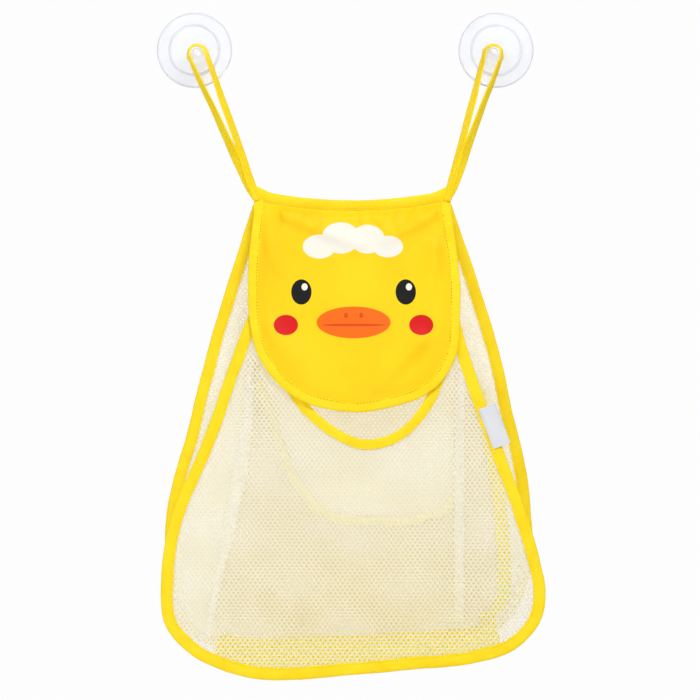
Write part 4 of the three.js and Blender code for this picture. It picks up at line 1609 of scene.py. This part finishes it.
@dataclass
class TopBinding:
    """The tape over the top edges of the cloth, which sags between the loops.

    Args:
        depth: The distance of its middle from the wall.
        thickness: Its thickness with the cloth inside.
        lift: How far its ends rise into the loops.
        overhang: How far its ends reach behind the loops.
        steps: How many steps it has.
        rise_from: The share of the half width where its ends start to rise.
        rise_over: The share that they rise over.
        flatness: The powers that square its section, in height and through it.
        groove: How deep the seam draws it in.
        groove_at: The seam's groove, as a share of the half height.
        groove_width: The groove's width, as such a share.
        ripple: How much its height varies.
        pucker: How much its thickness varies, in puckers and at large.
        pucker_pitch: The distance between puckers.
        seam_place: The seam's place, in half heights down and in thicknesses out.
    """

    depth: float = 0.008
    thickness: float = 0.0044
    lift: float = 0.0030
    overhang: float = 0.0025
    steps: int = 240
    rise_from: float = 0.84
    rise_over: float = 0.22
    flatness: tuple[float, float] = (0.55, 0.75)
    groove: float = 0.22
    groove_at: float = 0.62
    groove_width: float = 0.11
    ripple: float = 0.03
    pucker: float = 0.05
    pucker_pitch: float = 0.0058
    seam_place: tuple[float, float] = (0.64, 0.40)

    def build(self) -> None:
        """Make and dress the binding and its seam."""
        reach = 1 + self.overhang / HEADER_HALF_WIDTH
        share = np.linspace(-reach, reach, self.steps + 1)
        x = HEADER_CENTRE_X + HEADER_HALF_WIDTH * share
        rise = self.lift * ease((np.abs(share) - self.rise_from) / self.rise_over) / 2
        z = header_edge(x) + HEADER_HEIGHT / 2 + rise
        line = np.stack([x, np.full_like(x, -self.depth), z], axis=1)
        ahead = np.tile(AHEAD, (len(line), 1))
        up = sideways(line, ahead)
        run = run_lengths(line)
        angles = np.linspace(0, 2 * math.pi, 28, endpoint=False)
        high = HEADER_HEIGHT / 2 + rise
        rise_of = signed_power(np.sin(angles), self.flatness[0])
        out_of = signed_power(np.cos(angles), self.flatness[1])
        from_groove = (rise_of + self.groove_at) / self.groove_width
        groove = 1 - self.groove * np.exp(-from_groove ** 2)
        pucker = 1 + self.pucker * np.sin(2 * math.pi * run / self.pucker_pitch)
        pucker = pucker + self.pucker * wander(run, 0.04, 0.6)
        tall = high[:, None] * (1 + self.ripple * wander(run, 0.06, 1.4)[:, None]) * rise_of
        thick = self.thickness / 2 * pucker[:, None] * out_of * groove
        rings = line[:, None] + up[:, None] * tall[..., None] + ahead[:, None] * thick[..., None]
        made = mesh_object("header_tape", *swept(rings), TAPE)
        dress(made, Body.HEADER, ("top_binding",))
        down, out = self.seam_place
        low = line - up * (high * down)[:, None]
        faces = [(low + ahead * side * self.thickness * out, ahead * side) for side in (-1, 1)]
        dress(Seam().piece("header", faces, THREAD), Body.HEADER)


@dataclass(frozen=True)
class Crease:
    """A soft ridge in the flap's cloth.

    Args:
        start: Its upper end in X and Z.
        end: Its lower end.
        height: How far it stands out, or sinks in where it is negative.
        width: How far from its line it fades.
    """

    start: tuple[float, float]
    end: tuple[float, float]
    height: float
    width: float

    def lift(self, x: Array, z: Array) -> Array:
        """Return how far it lifts the cloth at places of the front view."""
        ax, az = self.start
        bx, bz = self.end
        reach = (bx - ax) ** 2 + (bz - az) ** 2
        share = np.clip(((x - ax) * (bx - ax) + (z - az) * (bz - az)) / reach, 0, 1)
        gap = np.hypot(x - ax - share * (bx - ax), z - az - share * (bz - az))
        return self.height * np.exp(-(gap / self.width) ** 2) * (1 - 0.6 * share)


CREASES = (
    Crease((-0.046, -0.133), (0.010, -0.157), 0.0051, 0.0060),
    Crease((-0.070, -0.136), (-0.052, -0.176), 0.0033, 0.0060),
    Crease((0.022, -0.131), (0.034, -0.146), 0.0024, 0.0040),
    Crease((0.070, -0.131), (0.034, -0.152), 0.0048, 0.0055),
    Crease((0.071, -0.160), (0.062, -0.205), 0.0030, 0.0070),
    Crease((-0.026, -0.129), (-0.022, -0.141), 0.00195, 0.0020),
    Crease((-0.004, -0.130), (-0.001, -0.141), 0.0018, 0.0022),
    Crease((0.012, -0.130), (0.013, -0.139), 0.0018, 0.0018),
    Crease((0.042, -0.128), (0.040, -0.138), 0.00195, 0.0020),
    Crease((0.056, -0.126), (0.052, -0.136), 0.0018, 0.0018),
    Crease((-0.050, -0.126), (-0.047, -0.137), 0.00195, 0.0020),
    Crease((0.058, -0.232), (0.026, -0.266), 0.0039, 0.0070),
    Crease((-0.060, -0.222), (-0.030, -0.258), 0.0030, 0.0080),
)


@dataclass
class FaceFlap:
    """The smooth cloth flap with its print and its binding.

    Args:
        tape: The tape round its edge.
        thickness: The cloth's thickness.
        columns: How many columns the cloth has.
        rows: How many rows it has below the hinge.
        yoke_rows: How many rows it has above the hinge.
        pleat: How far the gathers under the top binding stand out.
        swell: How far the broad folds stand out.
        gathers: The lengths of the gathers' two waves.
        drift: The length over which the gathers drift.
        gathered: How far below the binding the gathers start, and how far they reach.
        broad: The lengths of the broad folds' two waves.
        broad_from: How far below the binding the broad folds are full.
        crease_from: How far below the binding the creases are full.
        calm: How far from the edge the folds start, and over what distance they rise.
        yoke_lap: How far the cloth reaches into the binding, in binding heights.
        inset: How far inside the tape's fold the cloth ends.
        top_run: How far the tape's upper ends run inwards and up into the top binding.
    """

    tape: FoldedTape = FoldedTape(0.0078, 0.0012, margin=0.0009, seam=Seam(0.0026, 0.0023, 0.0007))
    thickness: float = 0.0006
    columns: int = 120
    rows: int = 110
    yoke_rows: int = 12
    pleat: float = 0.0010
    swell: float = 0.0026
    gathers: tuple[float, float] = (0.0135, 0.0071)
    drift: float = 0.017
    gathered: tuple[float, float] = (0.003, 0.011)
    broad: tuple[float, float] = (0.016, 0.027)
    broad_from: float = 0.02
    crease_from: float = 0.004
    calm: tuple[float, float] = (0.005, 0.012)
    yoke_lap: float = 0.3
    inset: float = 0.0012
    top_run: tuple[float, float] = (0.0004, 0.0022)

    def folds(self, x: Array, z: Array) -> Array:
        """Return how far the cloth stands out at places of the front view."""
        below = np.maximum(0, header_edge(x) - z)
        wide, narrow = self.gathers
        gathers = np.sin(2 * math.pi * x / wide + 0.8 * np.sin(x / self.drift))
        gathers = gathers + 0.5 * np.sin(2 * math.pi * x / narrow + 1.0)
        start, reach = self.gathered
        near_top = np.exp(-below / reach) * ease(below / start)
        slope = 0.55 * np.sin((x + 0.9 * z) / self.broad[0] + 0.6)
        slope = slope + 0.45 * np.sin((x - 0.7 * z) / self.broad[1])
        places = np.stack([x, z], axis=-1).reshape(-1, 2)
        start, reach = self.calm
        rim = ease((nearest(self.rim, places).reshape(x.shape) - start) / reach)
        creased = sum(crease.lift(x, z) for crease in CREASES) * ease(below / self.crease_from)
        broad = self.swell * (0.5 + 0.5 * slope) * ease(below / self.broad_from)
        return rim * (self.pleat * gathers * near_top + broad + creased)

    def laid(self, x: Array, z: Array) -> Array:
        """Return the cloth's points at places of the front view."""
        return np.stack([x, FLAP_FACE.depth(x, z) - self.folds(x, z), z], axis=-1)

    def build(self) -> None:
        """Make and dress the flap's cloth and binding, above and below the hinge."""
        outline = FLAP_AREA.line(FLAP_SHARES, 360)
        inwards, up = self.top_run
        tops = [np.array([x + inwards * side, header_edge(x) + up])
                for x, side in ((outline[0, 0], 1), (outline[-1, 0], -1))]
        outline = smooth_line(np.vstack([tops[0], outline[::6], tops[1]]), 420)
        self.rim = outline[::3]
        line = FLAP_FACE.laid(outline)
        self.cloth(FLAP_FACE.inset(line, self.inset))
        facing = FLAP_FACE.facing(line)
        rings = self.tape.rings(line, facing, 2.6)
        high = line[:, 2] > HINGE_Z
        first, last = int(np.argmin(high)), len(high) - int(np.argmin(high[::-1]))
        made = mesh_object("flap_tape", *swept(rings[first:last]), TAPE)
        # The flap's stitches are drawn dark, partly as painted shade for the shadow line at the
        # binding's inner edge.
        sewn = self.tape.stitched("flap_tape", line[first:last], facing[first:last], SEAM_SHADE_THREAD)
        dress(made, LIFT, ("flap_binding",))
        dress(sewn, LIFT)
        for name, part in (("left", rings[:first + 1]), ("right", rings[last - 1:])):
            top = mesh_object("flap_tape_top_" + name, *swept(part), TAPE)
            dress(top, SWING)

    def cloth(self, edge: Array) -> None:
        """Make the cloth above and below the hinge.

        Args:
            edge: The cloth's edge in X, Y and Z, from the top left round to the top right.
        """
        flat = edge[:, FRONT_AXES]
        below = flat[flat[:, 1] <= HINGE_Z]
        below[[0, -1], 1] = HINGE_Z
        left, right = below[0, 0], below[-1, 0]
        x = np.linspace(left, right, self.columns + 1)
        lower = header_edge(x) + HEADER_HEIGHT * self.yoke_lap
        share = np.linspace(0, 1, self.yoke_rows + 1)[:, None]
        z = lower[None] * (1 - share) + HINGE_Z * share
        high = self.laid(np.broadcast_to(x, z.shape), z)
        side = self.rows
        walk = even_steps(below, 2 * side + self.columns)
        grid = self.spread(np.stack([x, np.full_like(x, HINGE_Z)], axis=1),
                           walk[side:side + self.columns + 1], walk[:side + 1],
                           walk[side + self.columns:][::-1])
        low = self.laid(grid[..., 0], grid[..., 1])
        normal = grid_normals(np.vstack([high[:-1], low]))
        yoke = thick_sheet("flap_yoke", high, self.thickness, CLOTH, CLOTH,
                           normal[:self.yoke_rows + 1])
        dress(yoke, SWING)
        made = thick_sheet("flap_cloth", low, self.thickness, FACE_PRINT, CLOTH,
                           normal[self.yoke_rows:])
        planar_map(made, FRONT_AXES, FACE_PRINT.low, FACE_PRINT.span)
        dress(made, LIFT, ("face_flap",))

    @staticmethod
    def spread(top: Array, bottom: Array, left: Array, right: Array) -> Array:
        """Fill four edges with a smooth grid of X and Z.

        Args:
            top: The upper edge, to the right.
            bottom: The lower edge, to the right.
            left: The left edge, from the top down.
            right: The right edge, from the top down.

        Returns:
            The grid's rows and columns of places.
        """
        u = np.linspace(0, 1, len(top))[None, :, None]
        v = np.linspace(0, 1, len(left))[:, None, None]
        grid = top[None] * (1 - v) + bottom[None] * v + left[:, None] * (1 - u)
        grid = grid + right[:, None] * u
        grid = grid - top[0] * (1 - u) * (1 - v) - top[-1] * u * (1 - v)
        return grid - bottom[0] * (1 - u) * v - bottom[-1] * u * v


@dataclass
class SideLabel:
    """A bare folded ribbon tab on the right of the front binding.

    Args:
        width: How far it reaches across.
        length: How far it reaches along the binding.
        height: The height of its middle.
        proud: How far it lies in front of the cloth's middle.
        curl: How far it swells out along its middle.
        twist: How far its surface waves.
        tuck: How far its two side edges bend back.
        tuck_from: The share of the width where they start to.
        thickness: The folded ribbon's thickness.
    """

    width: float = 0.014
    length: float = 0.033
    height: float = -0.2995
    proud: float = 0.0019
    curl: float = 0.0007
    twist: float = 0.0005
    tuck: float = 0.0009
    tuck_from: float = 0.38
    thickness: float = 0.0007

    def build(self, line: Array) -> None:
        """Make and dress the tab.

        Args:
            line: The front binding's fold line.
        """
        right = line[:, 0] > POUCH_CENTRE_X
        at = int(np.argmin(np.abs(line[:, 2] - self.height) + np.where(right, 0, 1)))
        along = tangents(line)[at]
        facing = FRONT_FACE.facing(line)[at]
        across = np.cross(facing, along)
        u = np.linspace(-0.5, 0.5, 15)[:, None]
        v = np.linspace(-0.5, 0.5, 31)[None]
        curl = self.proud + self.curl * np.cos(math.pi * u) + self.twist * np.sin(4.1 * v + 3 * u)
        tucked = ease((np.abs(u) - self.tuck_from) / (0.5 - self.tuck_from))
        curl = curl - self.tuck * tucked + 0 * v
        grid = line[at] + across * (u * self.width + 0 * v)[..., None]
        grid = grid + along * (v * self.length + 0 * u)[..., None] + facing * curl[..., None]
        made = thick_sheet("label_ribbon", grid, self.thickness, RIBBON, RIBBON)
        dress(made, Body.POUCH, ("side_label",))


# The rays that see the surround as white.
SEEN_RAYS = ("Is Camera Ray", "Is Glossy Ray", "Is Transmission Ray")

# Each lamp's name, place, size and power in watts.
LAMPS = (
    ("key", (0.55, -0.95, 1.35), 0.5, 20),
    ("fill", (-1.3, -1.3, 0.3), 1.2, 8),
    ("front", (0.0, -1.75, -0.2), 0.4, 4.5),
    ("rear", (-0.9, 1.2, 0.9), 0.8, 9),
)


@dataclass
class Studio:
    """A pale floor, a white surround, soft lamps and the camera.

    Args:
        floor_z: The floor's height, below the view.
        floor_back: How far the floor reaches behind the wall plane, out of the camera's view.
        camera: The camera's place.
        lens: The lens in millimetres.
        ambient: The strength of the surround's light on the object.
        white: The strength that the surround is seen at.
        floor_reach: How far the floor reaches to the sides and to the front.
        aim_z: The height that the lamps look at.
        sensor: The width of the camera's sensor in millimetres.
    """

    floor_z: float = -0.62
    floor_back: float = 0.5
    camera: tuple[float, float, float] = (0.0038, -1.6, -0.2396)
    lens: float = 102.857
    ambient: float = 0.36
    white: float = 0.985
    floor_reach: float = 3.0
    aim_z: float = -0.25
    sensor: float = 36

    def build(self) -> None:
        """Make the studio."""
        self.surround()
        self.floor()
        for lamp in LAMPS:
            self.lamp(*lamp)
        eye = bpy.data.cameras.new("camera")
        eye.lens = self.lens
        eye.sensor_width = self.sensor
        seen = bpy.data.objects.new("camera", eye)
        seen.location = self.camera
        seen.rotation_euler = (math.pi / 2, 0, 0)
        bpy.context.scene.collection.objects.link(seen)
        bpy.context.scene.camera = seen
        bpy.context.scene.view_settings.view_transform = "Standard"

    def lamp(self, name: str, place: tuple[float, float, float], size: float,
             power: float) -> None:
        """Add a soft square lamp that looks at the pouch.

        Args:
            name: Its name.
            place: Where it stands.
            size: Its width and height.
            power: Its power in watts.
        """
        light = bpy.data.lights.new(name, "AREA")
        light.size = size
        light.energy = power
        made = bpy.data.objects.new(name, light)
        made.location = place
        aim = np.array([0, 0, self.aim_z]) - np.array(place)
        made.rotation_euler = (
            math.atan2(math.hypot(aim[0], aim[1]), -aim[2]), 0, math.atan2(-aim[0], aim[1]),
        )
        bpy.context.scene.collection.objects.link(made)

    def seen_white(self, graph: Graph) -> Socket:
        """Return a socket that is 1 for what the camera sees, straight or by gloss or glass."""
        total, *others = (graph.add("LightPath", {}, kind) for kind in SEEN_RAYS)
        for ray in others:
            total = graph.add("Math", {0: total, 1: ray}, "Value", operation="MAXIMUM")
        return total

    def surround(self) -> None:
        """Light the object evenly and show white behind it."""
        world = bpy.data.worlds.new("surround")
        world.use_nodes = True
        bpy.context.scene.world = world
        graph = Graph(world.node_tree)
        inputs = {"Value": self.seen_white(graph), "To Min": self.ambient, "To Max": self.white}
        strength = graph.add("MapRange", inputs, "Result")
        graph.feed(graph.tree.nodes["Background"], {"Color": (1, 1, 1, 1), "Strength": strength})

    def floor(self) -> None:
        """Make the pale floor, which keeps the object's shadow."""
        half, back = self.floor_reach, self.floor_back
        places = np.array([(-half, -half, 0), (half, -half, 0), (half, back, 0), (-half, back, 0)])
        finish = Finish("studio_floor", (243, 243, 243), (240, 240, 241), 0.9, 0.004, 0.02, 0.6,
                        sheen=0)
        made = mesh_object("studio_floor", places, [(0, 1, 2, 3)], finish)
        made.location.z = self.floor_z


def main() -> None:
    """Build the dressed object and its studio."""
    logging.basicConfig(level=logging.INFO, format="%(name)s: %(message)s")
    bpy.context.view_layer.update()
    Studio().build()
    for side, eye_length in EYE_LENGTHS.items():
        SuctionCup(side).build()
        StrapLoop(side, eye_length).build()
    TopBinding().build()
    pouch = Pouch()
    pouch.build()
    InnerPocket().build()
    FaceFlap().build()
    SideLabel().build(pouch.front)


if __name__ == "__main__":
    main()
